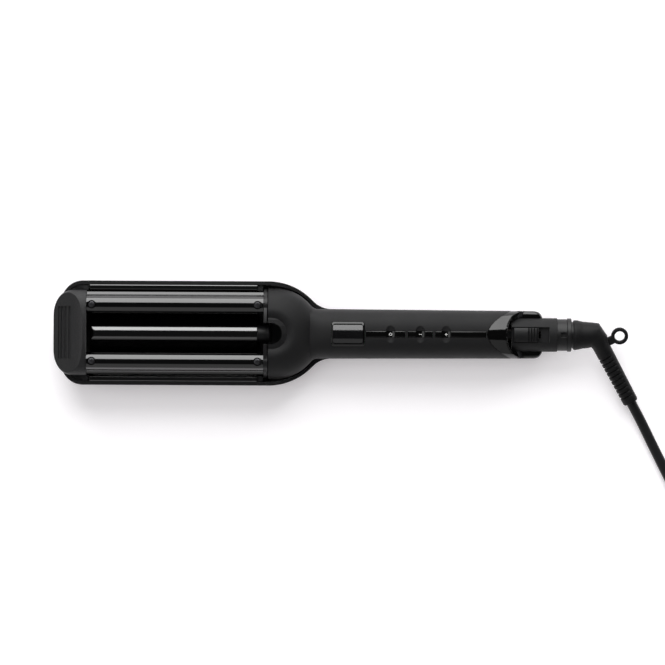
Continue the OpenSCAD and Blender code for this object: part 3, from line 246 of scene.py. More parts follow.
def smooth_route(points, step):
    """Points along one smooth curve through the given ones, about step apart."""
    ends = [2 * points[0] - points[1], *points, 2 * points[-1] - points[-2]]
    route = []
    for a, b, c, d in zip(ends, ends[1:], ends[2:], ends[3:]):
        parts = max(1, round((c - b).length / step))
        for i in range(parts):
            t = i / parts
            bend = (2 * a - 5 * b + 4 * c - d) * t ** 2 + (3 * b - a - 3 * c + d) * t ** 3
            route.append(0.5 * (2 * b + (c - a) * t + bend))
    return route + [points[-1]]


def around(sides):
    """The angles of one whole turn in equal steps."""
    return [2 * pi * k / sides for k in range(sides)]


def round_rings(route, radii, sides):
    """Rings square to a route in mm."""
    rings, side = [], None
    for i, centre in enumerate(route):
        ahead = (route[min(i + 1, len(route) - 1)] - route[max(i - 1, 0)]).normalized()
        side = (ahead.orthogonal() if side is None else side - ahead * side.dot(ahead)).normalized()
        up = ahead.cross(side)
        rings.append([centre + radii[i] * (cos(t) * side + sin(t) * up) for t in around(sides)])
    return rings


def limit(t):
    return min(1, max(0, t))


def ease(t):
    t = limit(t)
    return t * t * (3 - 2 * t)


CORD_D, TURNS, ROUTE_STEP, TURN_STEPS = 6, 12, 4, 30
COIL_CENTRE = Vector((264, -95, 0))
COLUMN_R = (40.5, 34.5, 28.5)
JOIN_TURN, LAST_TURN = radians(207.4), radians(360 * TURNS - 30)
# Where in a turn, in degrees, the cord rises a layer, moves to the next column and leaves the coil
RISE_AT, RISE_RUN, MOVE_AT, MOVE_RUN, LEAVE_RUN, LEAVE_OUT = 285, 30, 318, 34, 60, 3
branch_tip = Vector((191.135, -40.22, 6.60))
run_points = ((193.8, -45, 5.4), (198.3, -53.5, 4), (203, -63, 3.4), (208, -73, 3.1), (213, -83, 3.1),
              (217.5, -92, 3.1), (221, -99, 3.1))
end_points = ((308.5, -98, 19.5), (311, -86, 15), (311, -74, 10), (308, -62, 5.4), (302, -52, 3.3),
              (295, -44, 3.9), (289, -37, 6), (287, -31, 6.8), (287, -27.1, 6.85))


def coil_point(turn):
    """The cord's place at an angle of the coil: it rises, then moves over, near the end of each turn."""
    whole = int(turn // (2 * pi))
    part = degrees(turn) - 360 * whole
    layer, step = divmod(whole, 3)
    order = (0, 1, 2) if layer % 2 == 0 else (2, 1, 0)
    radius, height = COLUMN_R[order[step]], CORD_D * (layer + 0.5)
    if whole == TURNS - 1:
        radius += LEAVE_OUT * ease((part - RISE_AT) / LEAVE_RUN)
    elif step == 2:
        height += CORD_D * ease((part - RISE_AT) / RISE_RUN)
    else:
        radius += (COLUMN_R[order[step + 1]] - radius) * ease((part - MOVE_AT) / MOVE_RUN)
    return COIL_CENTRE + Vector((radius * cos(turn), radius * sin(turn), height))


coil_count = round((LAST_TURN - JOIN_TURN) / (2 * pi) * TURN_STEPS)
coil_route = [coil_point(JOIN_TURN + (LAST_TURN - JOIN_TURN) * i / coil_count) for i in range(coil_count + 1)]
run_route = smooth_route([branch_tip, *map(Vector, run_points), coil_route[0]], ROUTE_STEP)
end_route = smooth_route([coil_route[-1], *map(Vector, end_points)], ROUTE_STEP)
cord_route = run_route + coil_route[1:-1] + end_route

pvc, tree, shader, place = new_material("extruded_black_pvc", IOR=1.53, Specular_IOR_Level=0.25)
# The skin's mottling is about 1.5 mm across, and its drag marks about 0.3 mm
mottle = add_node(tree, "TexNoise", {"Vector": place, "Scale": 650, "Detail": 4})
drag = add_node(tree, "TexNoise", {"Vector": place, "Scale": 3200, "Detail": 2})
lay_surface(tree, shader, (mottle, "#0a0a0b", "#121213"), (mottle, 0.4, 0.52), (drag, 0.25, 0.05))

cord_tube = loft(round_rings(cord_route, [CORD_D / 2] * len(cord_route), 18))
cord = add_piece("mains_cord", cord_tube, pvc, None)
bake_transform(cord)
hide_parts("cord_run", "cord_coil", "cord_end")

# Hook tape is a woven nylon strap with a nap: it drinks the light, with a fine diagonal grain
tape, tree, shader, place = new_material(
    "woven_hook_tape", Roughness=0.85, IOR=1.5, Sheen_Weight=0.25, Sheen_Roughness=0.5,
    Specular_IOR_Level=0.3)
# The threads are 0.4 mm apart
thread = add_node(tree, "TexWave", {"Vector": place, "Scale": 393, "Distortion": 1.5, "Detail": 1},
                  bands_direction="DIAGONAL")
nap = add_node(tree, "TexNoise", {"Vector": place, "Scale": 2400, "Detail": 3})
lay_surface(tree, shader, (nap, "#0c0c0d", "#1c1c1e"), relief=(thread, 0.8, 0.12))


def arc(cx, cy, r, a0, a1, steps):
    """Points on a circle's arc between two angles in degrees."""
    turns = [radians(a0 + (a1 - a0) * i / steps) for i in range(steps + 1)]
    return [(cx + r * cos(t), cy + r * sin(t)) for t in turns]


def rounded_box(x0, x1, y0, y1, r, steps=6):
    """Outline of a box with round corners."""
    corners = ((x1 - r, y1 - r, 0), (x0 + r, y1 - r, 90), (x0 + r, y0 + r, 180), (x1 - r, y0 + r, 270))
    return [p for x, y, turn in corners for p in arc(x, y, r, turn, turn + 90, steps)]


TIE_HALF, TIE_T, TIE_TOP, TIE_CORNER = 4.5, 0.8, 24.1, 2.6
TIE_Y0, TIE_Y1 = 23.3, 43.8
tie_rows = []
for (a, c), (b, d) in zip(rounded_box(TIE_Y0, TIE_Y1 + TIE_T, 0, TIE_TOP + TIE_T, TIE_CORNER),
                          rounded_box(TIE_Y0 + TIE_T, TIE_Y1, TIE_T, TIE_TOP, TIE_CORNER - TIE_T)):
    section = (-TIE_HALF, a, c), (TIE_HALF, a, c), (TIE_HALF, b, d), (-TIE_HALF, b, d)
    tie_rows.append([COIL_CENTRE + Vector(p) for p in section])
cord_tie = add_piece(
    "cord_tie_strap", loft(tie_rows, closed=True), tape, "lower_arm", ["cord_tie"], edge=0.2)


# ---- Lower arm: shell ----
# One long moulding in glass-filled nylon: a deep tray for the hot plate in front, the lower half of
# the handle behind, with a rounded belly. The mould's fine spark texture leaves it matt black.
def lerp(a, b, t):
    return a + (b - a) * t


def signed_power(value, power):
    return copysign(abs(value) ** power, value)


def arch(half_w, height, power, flat=1.0, steps=64):
    """Half a super-ellipse from rim over crown to rim, as y and rise. flat over 1 cuts its crown."""
    pairs = []
    for i in range(steps + 1):
        turn = pi * i / steps
        pairs.append(
            (half_w * signed_power(cos(turn), 2 / power), height * min(1, flat * sin(turn) ** (2 / power))))
    return pairs


def half_chord(r, off):
    """Half the chord of a circle of radius r, at a distance off from its centre."""
    return sqrt(r * r - off * off)


def fillet(r, u):
    """Height of a round of radius r at distance u from its start."""
    return 0 if u >= r else r - half_chord(r, r - max(0, u))


def soft_step(t):
    return (1 - cos(pi * limit(t))) / 2


def row(x0, x1, step):
    """Stations from x0 to x1, at most step apart, the last one left out."""
    count = ceil((x1 - x0) / step)
    return [lerp(x0, x1, i / count) for i in range(count)]


def round_row(x, r, steps):
    """Stations along a round of radius r that starts at x."""
    return [x + r * (1 - cos(pi / 2 * i / steps)) for i in range(steps + 1)]


def moulded_plastic(name, dark, light, rough, grain, depth, specular=0.3, sheen=0.0):
    """Moulded plastic: grain is the size of the mould's texture in mm, depth its height in mm."""
    material, tree, shader, place = new_material(
        name, IOR=1.5, Specular_IOR_Level=specular, Sheen_Weight=sheen, Sheen_Roughness=0.4)
    cloud = add_node(tree, "TexNoise", {"Vector": place, "Scale": 60, "Detail": 5})
    texture = add_node(tree, "TexNoise", {"Vector": place, "Scale": 1 / (grain * MM), "Detail": 2})
    lay_surface(tree, shader, (cloud, dark, light), (cloud, rough - 0.03, rough + 0.03),
                (texture, 0.6, depth), span=(0.3, 0.7))
    return material


# Matt nylon with a faint sheen at grazing light, where the texture's grains stand up
matt_nylon = moulded_plastic(
    "spark_textured_glass_filled_nylon", "#0c0c0d", "#121213", 0.66, 0.45, 0.03, specular=0.29, sheen=0.07)

HANDLE_W, JAW_W, JAW_H, LOWER_H, SHELL_WALL = 29.8, 62.4, 24.5, 15.5, 2
X_LOWER, X_DOME, X_CREASE = -151, -27.3, -2.22
X_SHOULDER, X_SLOPE, X_NECK, X_GRIP, X_HINGE, X_EAR = -27.1, -0.99, -0.52, 10.62, 122, 125
SHOULDER_R, NECK_R, AXIS_Z, TUBE_R, HUB_SPACE_R = 36.3, 15.48, 17, 10.1, 4.5
SHOULDER_DROP, SLOPE_SHARE, NECK_SHARE = (JAW_W - HANDLE_W) / 2, 0.68, 0.29
CORNER_R, FRONT_ROUND_R, GRIP_TAPER = 13, 8, 0.6
X_BELLY, X_BELLY_END, BELLY_LIFT, BELLY_FLAT = X_DOME + 9, 60, 1.2, 1.05
X_RIM, RIM_RUN = X_DOME + 3, X_CREASE - X_DOME + 0.9
JAW_POWER, HANDLE_POWER, POWER_RUN = 3.6, 2.6, 36
CASE_SCREW_X, SCREW_WELL_R = (14.62, 68.75, 97.35), 2.7


def grip_taper(x):
    return GRIP_TAPER * limit((x - X_GRIP) / (X_HINGE - X_GRIP))


def jaw_to_handle(x):
    """Half width of the tool in plan: jaw, shoulder, neck and tapering handle."""
    if x <= X_SHOULDER:
        return JAW_W / 2
    if x <= X_SLOPE:
        return JAW_W / 2 - SHOULDER_R + half_chord(SHOULDER_R, x - X_SHOULDER)
    if x <= X_NECK:
        return lerp(JAW_W / 2 - SLOPE_SHARE * SHOULDER_DROP, HANDLE_W / 2 + NECK_SHARE * SHOULDER_DROP,
                    (x - X_SLOPE) / (X_NECK - X_SLOPE))
    if x <= X_GRIP:
        return HANDLE_W / 2 + NECK_R - half_chord(NECK_R, X_GRIP - x)
    return HANDLE_W / 2 - grip_taper(x)


def belly(x, inset):
    lift = sin(pi * limit((x - X_BELLY) / (X_BELLY_END - X_BELLY))) ** 2
    return inset + fillet(FRONT_ROUND_R - inset, x - X_LOWER - inset) + BELLY_LIFT * lift


def rim(x):
    return lerp(JAW_H, LOWER_H, soft_step((x - X_RIM) / RIM_RUN))


def lower_power(x):
    return lerp(JAW_POWER, HANDLE_POWER, soft_step((x - X_DOME) / POWER_RUN))


def lower_ring(x, inset, above=0):
    """Ring of the lower arm's outline at x, which goes above the rim for a cutter."""
    half_w = jaw_to_handle(x) - inset - fillet(CORNER_R - inset, x - X_LOWER - inset)
    down = arch(half_w, rim(x) - belly(x, inset), lower_power(x), BELLY_FLAT)
    ring = [(x, y, rim(x) - fall) for y, fall in down]
    return [(x, half_w, rim(x) + above), *ring, (x, -half_w, rim(x) + above)] if above else ring


def rod(axis, a, b, at, r, sides=64):
    """A round bar along x, y or z from a to b, in mm. at is its place on the two other axes."""
    circle = [(at[0] + r * cos(t), at[1] + r * sin(t)) for t in around(sides)]
    return loft([[{"x": (end, u, v), "y": (u, end, v), "z": (u, v, end)}[axis] for u, v in circle]
                 for end in (a, b)])


def bar(section, x0, x1):
    """A prism along X, of a section in y and z."""
    return loft([[(x, y, z) for y, z in section] for x in (x0, x1)])


def block(x0, x1, y0, y1, z0, z1):
    return bar(((y0, z0), (y1, z0), (y1, z1), (y0, z1)), x0, x1)


body_rows = (round_row(X_LOWER, CORNER_R, 16) + row(X_SHOULDER, X_GRIP, 1.1) + row(X_GRIP, X_BELLY_END, 4)
             + row(X_BELLY_END, X_EAR, 8) + [X_EAR])
X_HOLLOW, HOLLOW_ABOVE = X_LOWER + SHELL_WALL, 4
hollow_rows = [X_HOLLOW + 0.02] + [x for x in body_rows[:-1] if x > X_HOLLOW] + [X_EAR + 2]
hollow = loft([lower_ring(x, SHELL_WALL, HOLLOW_ABOVE) for x in hollow_rows])
hub_room = [rod("y", s * TUBE_R, s * 40, (X_HINGE, AXIS_Z), HUB_SPACE_R) for s in (-1, 1)]
screw_wells = [rod("z", -2, 5, (x, 0), SCREW_WELL_R) for x in CASE_SCREW_X]
add_piece("lower_shell_moulding", loft([lower_ring(x, 0) for x in body_rows]), matt_nylon, "lower_arm",
          ["lower_shell"], [hollow, *hub_room, *screw_wells], edge=0.3)


# ---- Lower arm: liner and caps ----
# A heat shield tray in darker, heat-resistant nylon lies in the jaw. A cap closes its front, small
# ledges stand at both ends of its side edges, and a round-topped cap stands behind the middle ridge.
def dress(material, *names):
    """Gives the solids of these nodes a material."""
    for name in names:
        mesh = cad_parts[name].data
        mesh.materials.clear()
        mesh.materials.append(material)


# Semi-matt, since its mould is only stoned and not textured
heat_nylon = moulded_plastic("stoned_heat_resistant_nylon", "#0a0a0b", "#101011", 0.45, 0.5, 0.015, 0.35)
dress(heat_nylon, "lower_liner")
# The same coarse spark texture as on the cool tip, so both ends of the jaw match
coarse_nylon = moulded_plastic(
    "coarse_spark_textured_nylon", "#0e0e0f", "#171718", 0.56, 1.1, 0.32, specular=0.4, sheen=0.08)
dress(coarse_nylon, "lower_front_cap")
# Each ledge's start, end and top
LEDGES = ((-143.6, -134.9, 23.5), (-33.8, -30.4, 23))
LEDGE_Y0, LEDGE_Y1, LEDGE_Z0 = 25.4, 28.8, 18.9
ledges = [block(x0, x1, s * LEDGE_Y0, s * LEDGE_Y1, LEDGE_Z0, z) for x0, x1, z in LEDGES for s in (-1, 1)]
add_piece("jaw_edge_ledges", together(*ledges), coarse_nylon, "lower_arm", edge=0.4)

RIDGE_Z, RIDGE_R, VALLEY_Z, PLATE_T = 21.85, 5.4, 11, 1.5
X_PLATE, X_PLATE_END = -134, -34
SHELF_Z0, SHELF_Z1, SHELF_HALF = VALLEY_Z - PLATE_T - 1, VALLEY_Z - 0.2, 23.5
CAP_R, X_CAP, X_WALL, WALL_T, WALL_TOP = RIDGE_R - 0.33, X_PLATE_END + 0.1, X_DOME + 1.8, 1.5, 15.2
FOOT_L, FOOT_HALF, FOOT_Z = 2, 11, 3.72
ridge_cap = bar(
    [(CAP_R, SHELF_Z0)] + arc(0, RIDGE_Z, CAP_R, 0, 180, 32) + [(-CAP_R, SHELF_Z0)], X_CAP, X_DOME + 1)
shelf = block(X_CAP, X_WALL, -SHELF_HALF, SHELF_HALF, SHELF_Z0, SHELF_Z1)
back_wall = block(X_WALL - WALL_T, X_WALL, -SHELF_HALF, SHELF_HALF, SHELF_Z0, WALL_TOP)
foot = block(X_CAP, X_CAP + FOOT_L, -FOOT_HALF, FOOT_HALF, FOOT_Z, SHELF_Z1)
add_piece("ridge_rear_cap", together(ridge_cap, shelf, back_wall, foot), heat_nylon, "lower_arm",
          ["lower_rear_cap"], edge=0.5)


# ---- Lower arm: wave plate, heaters and fuse ----
# The wave plate is an aluminium extrusion with a tall middle ridge, two round valleys and a lip at
# each side, under a gloss black ceramic coating. Heater boards are pressed up under the valleys by
# waved leaf springs, and a thermal fuse sits between them.
BARREL_Y, NOSE_Z, NOSE_R, VALLEY_R = 18.2, 18.7, 6.7, 7.7
LIP_Y, LIP_HALF, LIP_TOP_Z = 27.4, 1.5, 24
ridge_gap = hypot(BARREL_Y, RIDGE_Z - NOSE_Z)
flank = degrees(asin((RIDGE_R + VALLEY_R) / ridge_gap) + atan((RIDGE_Z - NOSE_Z) / BARREL_Y))
LIP_ROUND = 0.65
# The ridge's roof is round at the middle, flatter beside it and tightly round at its shoulders
ROOF_ARCS = ((6, 0, 14), (10.5, 14, 25), (2.2, 25, flank))
roof_line = [(0, 0)]
for radius, a0, a1 in ROOF_ARCS:
    y, z = roof_line[-1]
    start = (y - radius * sin(radians(a0)), z - radius * cos(radians(a0)))
    roof_line += arc(*start, radius, 90 - a0, 90 - a1, 8)[1:]
ridge_foot = (RIDGE_R * sin(radians(flank)), RIDGE_Z + RIDGE_R * cos(radians(flank)))
stretch, lift = ridge_foot[0] / roof_line[-1][0], ridge_foot[1] - roof_line[-1][1]
roof_line = [(y * stretch, z + lift) for y, z in roof_line]
RIDGE_TOP = roof_line[0][1]
lip_z = LIP_TOP_Z + LIP_HALF - LIP_ROUND
top_half = (roof_line + arc(BARREL_Y, NOSE_Z, VALLEY_R, 270 - flank, 360, 36)
            + arc(LIP_Y - LIP_HALF + LIP_ROUND, lip_z, LIP_ROUND, 180, 90, 6)
            + arc(LIP_Y + LIP_HALF - LIP_ROUND, lip_z, LIP_ROUND, 90, 0, 6))
under_half = ([(LIP_Y + LIP_HALF, NOSE_Z)] + arc(BARREL_Y, NOSE_Z, VALLEY_R + PLATE_T, 360, 270 - flank, 36)
              + arc(0, RIDGE_Z, RIDGE_R - PLATE_T, 90 - flank, 90, 18))
plate_half = top_half + under_half
plate_outline = plate_half + [(-y, z) for y, z in plate_half[-2:0:-1]]
RIDGE_ROUND = 3


def plate_ring(x):
    """The plate's outline at x. Its ridge is rounded off at the front."""
    top = RIDGE_TOP - fillet(RIDGE_ROUND, x - X_PLATE)
    return [(x, y, min(z, top) if abs(y) < RIDGE_R else z) for y, z in plate_outline]


def fired_coating(name, index):
    """A fired ceramic coating: hard gloss black, with a very slight orange peel. index is its refraction."""
    material, tree, shader, place = new_material(name, IOR=index, Specular_IOR_Level=0.5)
    peel = add_node(tree, "TexNoise", {"Vector": place, "Scale": 420, "Detail": 2})
    speck = add_node(tree, "TexNoise", {"Vector": place, "Scale": 5200, "Detail": 1})
    lay_surface(tree, shader, (speck, "#020202", "#040405"), (peel, 0.07, 0.12), (peel, 0.12, 0.03))
    return material


# The plate's coat is the harder one, rich in titania, so it shines more than the barrels'
plate_coat = fired_coating("titania_rich_ceramic_on_aluminium", 2.1)
barrel_coat = fired_coating("gloss_ceramic_on_aluminium", 1.72)

plate_body = loft([plate_ring(x) for x in round_row(X_PLATE, RIDGE_ROUND, 8) + [X_PLATE_END]])
# The heaters' flat seats under the valleys
SEAT_HALF, SEAT_T, SEAT_INSET = 4, 1.2, 8
seats = [block(X_PLATE + SEAT_INSET, X_PLATE_END - SEAT_INSET, y - SEAT_HALF, y + SEAT_HALF,
               VALLEY_Z - PLATE_T - SEAT_T, VALLEY_Z - PLATE_T / 2) for y in (-BARREL_Y, BARREL_Y)]
add_piece("wave_plate_extrusion", together(plate_body, *seats), plate_coat, "lower_arm",
          ["wave_plate"], edge=0.25, smooth=35)

# White alumina boards, fired, so matt with a fine chalky grain
alumina, tree, shader, place = new_material("fired_alumina", IOR=1.7, Specular_IOR_Level=0.3)
chalk = add_node(tree, "TexNoise", {"Vector": place, "Scale": 1800, "Detail": 3})
lay_surface(tree, shader, (chalk, "#d8d2c4", "#eee9dc"), (chalk, 0.55, 0.75))
dress(alumina, "plate_heaters", "barrel_heaters")


def plain_metal(name, dark, light, rough, scratch, depth):
    """Bare metal with marks along X from its making: scratch is their spacing, depth their depth in mm."""
    material, tree, shader, place = new_material(name, Metallic=1.0)
    stretched = add_node(tree, "Mapping", {"Vector": place, "Scale": (0.06, 1, 1)})
    marks = add_node(
        tree, "TexNoise", {"Vector": stretched.outputs[0], "Scale": 1 / (scratch * MM), "Detail": 3})
    lay_surface(tree, shader, (marks, dark, light), (marks, rough - 0.07, rough + 0.07), (marks, 0.4, depth))
    return material


# Cold-rolled spring steel, blue-grey, with fine drawing lines
spring_steel = plain_metal("cold_rolled_spring_steel", "#9a9ca0", "#b9bbbf", 0.3, 0.12, 0.004)
dress(spring_steel, "plate_springs", "barrel_clips", "opening_spring", "hinge_pins")
# Turned brass: warm yellow, semi-bright
brass = plain_metal("turned_brass", "#a8863e", "#c9a85c", 0.28, 0.2, 0.004)
dress(brass, "thermal_fuse", "swivel_contacts")


# ---- Lower arm: deck, terminal block, leads and screws ----
# Behind the plate a flat deck closes the arm. Under it lie the terminal block and the mains leads,
# and three screws go up into the deck's bosses from below.
dress(heat_nylon, "lower_deck")
# Pale polyamide, slightly see-through, so it looks waxy
waxy = moulded_plastic("natural_polyamide", "#cfcab6", "#dcd8c6", 0.42, 0.8, 0.01, specular=0.5)
dress(waxy, "terminal_block")
# Fibreglass-sleeved leads, a woven tube in brown-black, whose braid repeats every 0.8 mm
sleeve, tree, shader, place = new_material(
    "woven_fibreglass_sleeve", Roughness=0.6, IOR=1.52, Specular_IOR_Level=0.4)
braid = add_node(tree, "TexWave", {"Vector": place, "Scale": 196, "Distortion": 2, "Detail": 2},
                 bands_direction="DIAGONAL")
lay_surface(tree, shader, (braid, "#1f1a17", "#332a25"), relief=(braid, 0.7, 0.1))
dress(sleeve, "mains_leads")
# Zinc-plated steel, a little yellow-grey and soft in its shine
zinc = plain_metal("zinc_plated_steel", "#85878a", "#a6a7a8", 0.38, 0.3, 0.006)
dress(zinc, "case_screws", "lock_keeper")


# ---- Hinge, tail tube and lock ----
# Behind the handle a gloss ABS housing carries the two ears of the hinge. A moulded tube runs
# back from between them, with the slot of the lock on top, and ends in a collar with a small
# window and in the swivel's ring.
EAR_TOP, EAR_ROUND = 20, 2.4
# Gloss ABS from a polished mould: black, with a soft-edged reflection
gloss_abs = moulded_plastic("polished_mould_abs", "#020202", "#050505", 0.14, 3.0, 0.003, specular=0.5)


def ear_ring(x, half_w, top, depth):
    """Ring of the ears at x, round along its top edges."""
    edge = arc(half_w - EAR_ROUND, top - EAR_ROUND, EAR_ROUND, 90, 0, 8)[:-1]
    side = arch(half_w, depth - EAR_ROUND, lower_power(X_EAR), BELLY_FLAT)
    below = [(y, top - EAR_ROUND - fall) for y, fall in side]
    return [(x, y, z) for y, z in edge + below + [(-y, z) for y, z in edge[::-1]]]


EAR_HALF_W = jaw_to_handle(X_EAR)
# Each station is a place along X, how far the sides have come in there and how far the top has come down
EAR_STATIONS = ((125.22, 0, 0), (132.4, 0.1, 0), (133.9, 0.4, 0.1), (135, 0.95, 0.4), (135.9, 1.75, 0.8),
                (136.6, 2.7, 1.2), (137.1, 3.8, 1.6))
ears = loft([ear_ring(x, EAR_HALF_W - come_in, EAR_TOP - down, EAR_TOP - 1.4 * down)
             for x, come_in, down in EAR_STATIONS])
EAR_PLUG_GAP, EAR_PLUG_TOP = 2.1, 12.5
plug_arch = arch(EAR_HALF_W - EAR_PLUG_GAP, LOWER_H - EAR_PLUG_GAP, lower_power(X_EAR), BELLY_FLAT)
ear_plug = bar([(y, min(LOWER_H - fall, EAR_PLUG_TOP)) for y, fall in plug_arch], 113, 125.3)
X_TUBE, X_TUBE_END, BORE_R = 118.5, 145.8, 6.5
tube_room = rod("x", X_TUBE, 156, (0, AXIS_Z), TUBE_R, 96)
lead_room = rod("x", 100, 157, (0, AXIS_Z), BORE_R)
open_top = block(110, 158, -TUBE_R, TUBE_R, AXIS_Z, 40)
add_piece("hinge_ear_housing", ears, gloss_abs, "lower_arm", ["tail_housing"],
          [tube_room, open_top, *hub_room], edge=0.25)
add_piece("hinge_ear_plug", ear_plug, gloss_abs, "lower_arm", (), [tube_room, lead_room])


def tail_ring(x0, x1, inner, outer):
    """A plain ring about the tail's axis."""
    section = ((x0, inner), (x0, outer), (x1, outer), (x1, inner))
    return loft([[(x, r * cos(t), AXIS_Z + r * sin(t)) for x, r in section] for t in around(96)], closed=True)


SLOT_Z, SLOT_HALF = 24.4, 4.65
slot = block(X_TUBE - 1, 141.1, -SLOT_HALF, SLOT_HALF, SLOT_Z, 40)
neck_slot = block(125.5, 136, -2.1, 2.1, AXIS_Z, SLOT_Z + 1)
pin_hole = rod("y", -20, 20, (X_HINGE, AXIS_Z), 2)
add_piece("tail_tube_moulding", tail_ring(X_TUBE, X_TUBE_END, BORE_R, TUBE_R), matt_nylon, "lower_arm",
          ["tail_tube"], [slot, neck_slot, pin_hole], edge=0.3)
X_COLLAR_END, COLLAR_BORE, COLLAR_R = 151.8, 6.6, 9.5
X_RING_END, RING_BORE, RING_R = 154.5, 5.05, 10
window = block(147.8, 151.4, -1.45, 1.45, AXIS_Z + COLLAR_R - 1.3, 40)
add_piece("tail_collar_moulding", tail_ring(X_TUBE_END, X_COLLAR_END, COLLAR_BORE, COLLAR_R), heat_nylon,
          "lower_arm", ["tail_collar"], [window], edge=0.25)
add_piece("swivel_ring_moulding", tail_ring(X_COLLAR_END, X_RING_END, RING_BORE, RING_R), heat_nylon,
          "lower_arm", ["swivel_ring"], edge=0.5)

SLIDER_X0, SLIDER_X1, SLIDER_HALF, SLIDER_Z0, SLIDER_R = 119.9, 134.5, 4.1, 24.5, 11
GRIPS_X, GRIP_W, GRIP_Z = (128.2, 129.9, 131.6, 133.3), 0.85, 26.1
cap_top = [(y, AXIS_Z + half_chord(SLIDER_R, y)) for y in [SLIDER_HALF * (1 - i / 12) for i in range(25)]]
slider_cap = bar([(SLIDER_HALF, SLIDER_Z0), *cap_top, (-SLIDER_HALF, SLIDER_Z0)], SLIDER_X0, SLIDER_X1)
add_piece("lock_slider_cap", slider_cap, heat_nylon, "lock_slide", ["lock_slider"],
          [block(x, x + GRIP_W, -5, 5, GRIP_Z, 40) for x in GRIPS_X], edge=0.2)
# A post goes down through the neck slot to a rail, and the rail's front end stands up to a hook
HOOK_X, POST_END, RAIL_HALF, RAIL_Z0, RAIL_Z1, HOOK_TOP = 98.9, 129.5, 2.3, 17.2, 19.2, 25.6
post = block(126.5, POST_END, -1.8, 1.8, RAIL_Z0, 25.4)
rail = block(HOOK_X, POST_END, -RAIL_HALF, RAIL_HALF, RAIL_Z0, RAIL_Z1)
riser = block(HOOK_X, HOOK_X + 1.5, -RAIL_HALF, RAIL_HALF, RAIL_Z0, HOOK_TOP)
hook = block(HOOK_X, 105.2, -RAIL_HALF, RAIL_HALF, HOOK_TOP - 1.4, HOOK_TOP)
add_piece(
    "lock_slider_arm", together(post, rail, riser, hook), heat_nylon, "lock_slide", edge=0.2)


# ---- Upper arm: barrels, brackets and cool tip ----
# Two coated aluminium tubes carry the hair into the valleys. A bracket plugs each end of them,
# held by a screw from above, and the cool tip and the collar close them in front and behind.
# The heat bars are cast to fit inside the barrels, with the heaters clipped onto them.
CREST_Y, CREST_Z, CREST_R, LIP_R, BARREL_WALL = 16.9, 30.6, 5.4, 2.6, 1.4
X_BARREL, X_BARREL_END = -135.6, -30.1
BARREL_SCREW_X, HEAD_Z = (-132.4, -33.5), 33.9


def barrel_outline(inset):
    lean = degrees(asin(inset / (LIP_R + inset)))
    return (arc(BARREL_Y, NOSE_Z, NOSE_R - inset, 180, 360, 36)
            + arc(BARREL_Y + NOSE_R, CREST_Z, LIP_R + inset, 270 - lean, 180, 10)[1:]
            + arc(CREST_Y, CREST_Z, CREST_R - inset, 0, 180, 32)[1:])


def barrel_fill(x0, x1, side, inset):
    return bar([(side * y, z) for y, z in barrel_outline(inset)], x0, x1)


SCREW_HOLE_R = 2.5
for name, side in (("barrel_left", 1), ("barrel_right", -1)):
    hollow = barrel_fill(X_BARREL - 1, X_BARREL_END + 1, side, BARREL_WALL)
    holes = [rod("z", 30, 40, (x, side * CREST_Y), SCREW_HOLE_R, 48) for x in BARREL_SCREW_X]
    add_piece(name + "_extrusion", barrel_fill(X_BARREL, X_BARREL_END, side, 0), barrel_coat, "upper_arm",
              [name], [hollow, *holes], edge=0.2, smooth=35)

dress(heat_nylon, "front_bracket", "rear_bracket")
# Die-cast aluminium, left bare: pale grey with a soft grain
cast = plain_metal("die_cast_aluminium", "#9fa0a2", "#bdbec0", 0.48, 0.8, 0.01)
dress(cast, "heat_bars")

# Blackened steel screws: the oxide is dark brown-black and half bright
blackened = plain_metal("blackened_steel", "#4b4b4e", "#6c6c6f", 0.4, 0.25, 0.004)
dress(blackened, "hinge_yoke")
HEAD_PROFILE = ((1.2, -6), (1.2, 0.02), (2, 0.02), (2, 1.1), (1.7, 1.6), (1.1, 1.8))
CROSS_L, CROSS_W, CROSS_Z = 1.4, 0.45, HEAD_Z + 0.7
screws, recesses = [], []
for x in BARREL_SCREW_X:
    for y in (-CREST_Y, CREST_Y):
        rings = [[(x + r * cos(t), y + r * sin(t), HEAD_Z + z) for t in around(48)] for r, z in HEAD_PROFILE]
        screws.append(loft(rings))
        for u, v in ((CROSS_L, CROSS_W), (CROSS_W, CROSS_L)):
            recesses.append(block(x - u, x + u, y - v, y + v, CROSS_Z, HEAD_Z + 3))
add_piece("barrel_screw_set", together(*screws), blackened, "upper_arm", ["barrel_screws"],
          recesses, smooth=30)

TIP_X, TIP_X1, TIP_Z, TIP_H, TIP_L, TIP_CORNER = -155.5, -135.9, 24.8, 12, 18.2, 14.4
TIP_EDGE_H, TIP_POWER, ROUND_L = 6.5, 2.8, 10.5
FRONT_HALF = BARREL_Y + NOSE_R + 0.5 - TIP_CORNER
PAD_R, PAD_X = 26, -157.4
PAD_CENTRE_Z = TIP_Z + TIP_H + half_chord(PAD_R, TIP_X1 - 2 - PAD_X)
GROOVES_X, GROOVE_HALF, GROOVE_R = (-151.95, -150.15, -148.05, -145.65), 15.6, 0.9


def quarter(t):
    """Height of a quarter circle of radius 1 at the share t of its way in."""
    return half_chord(1, 1 - limit(t))


def tip_ring(x):
    half_w = FRONT_HALF + TIP_CORNER * quarter((x - TIP_X) / ROUND_L)
    crown = lerp(TIP_EDGE_H, TIP_H, quarter((x - TIP_X) / TIP_L))
    return [(x, y, TIP_Z + rise) for y, rise in arch(half_w, crown, TIP_POWER)]


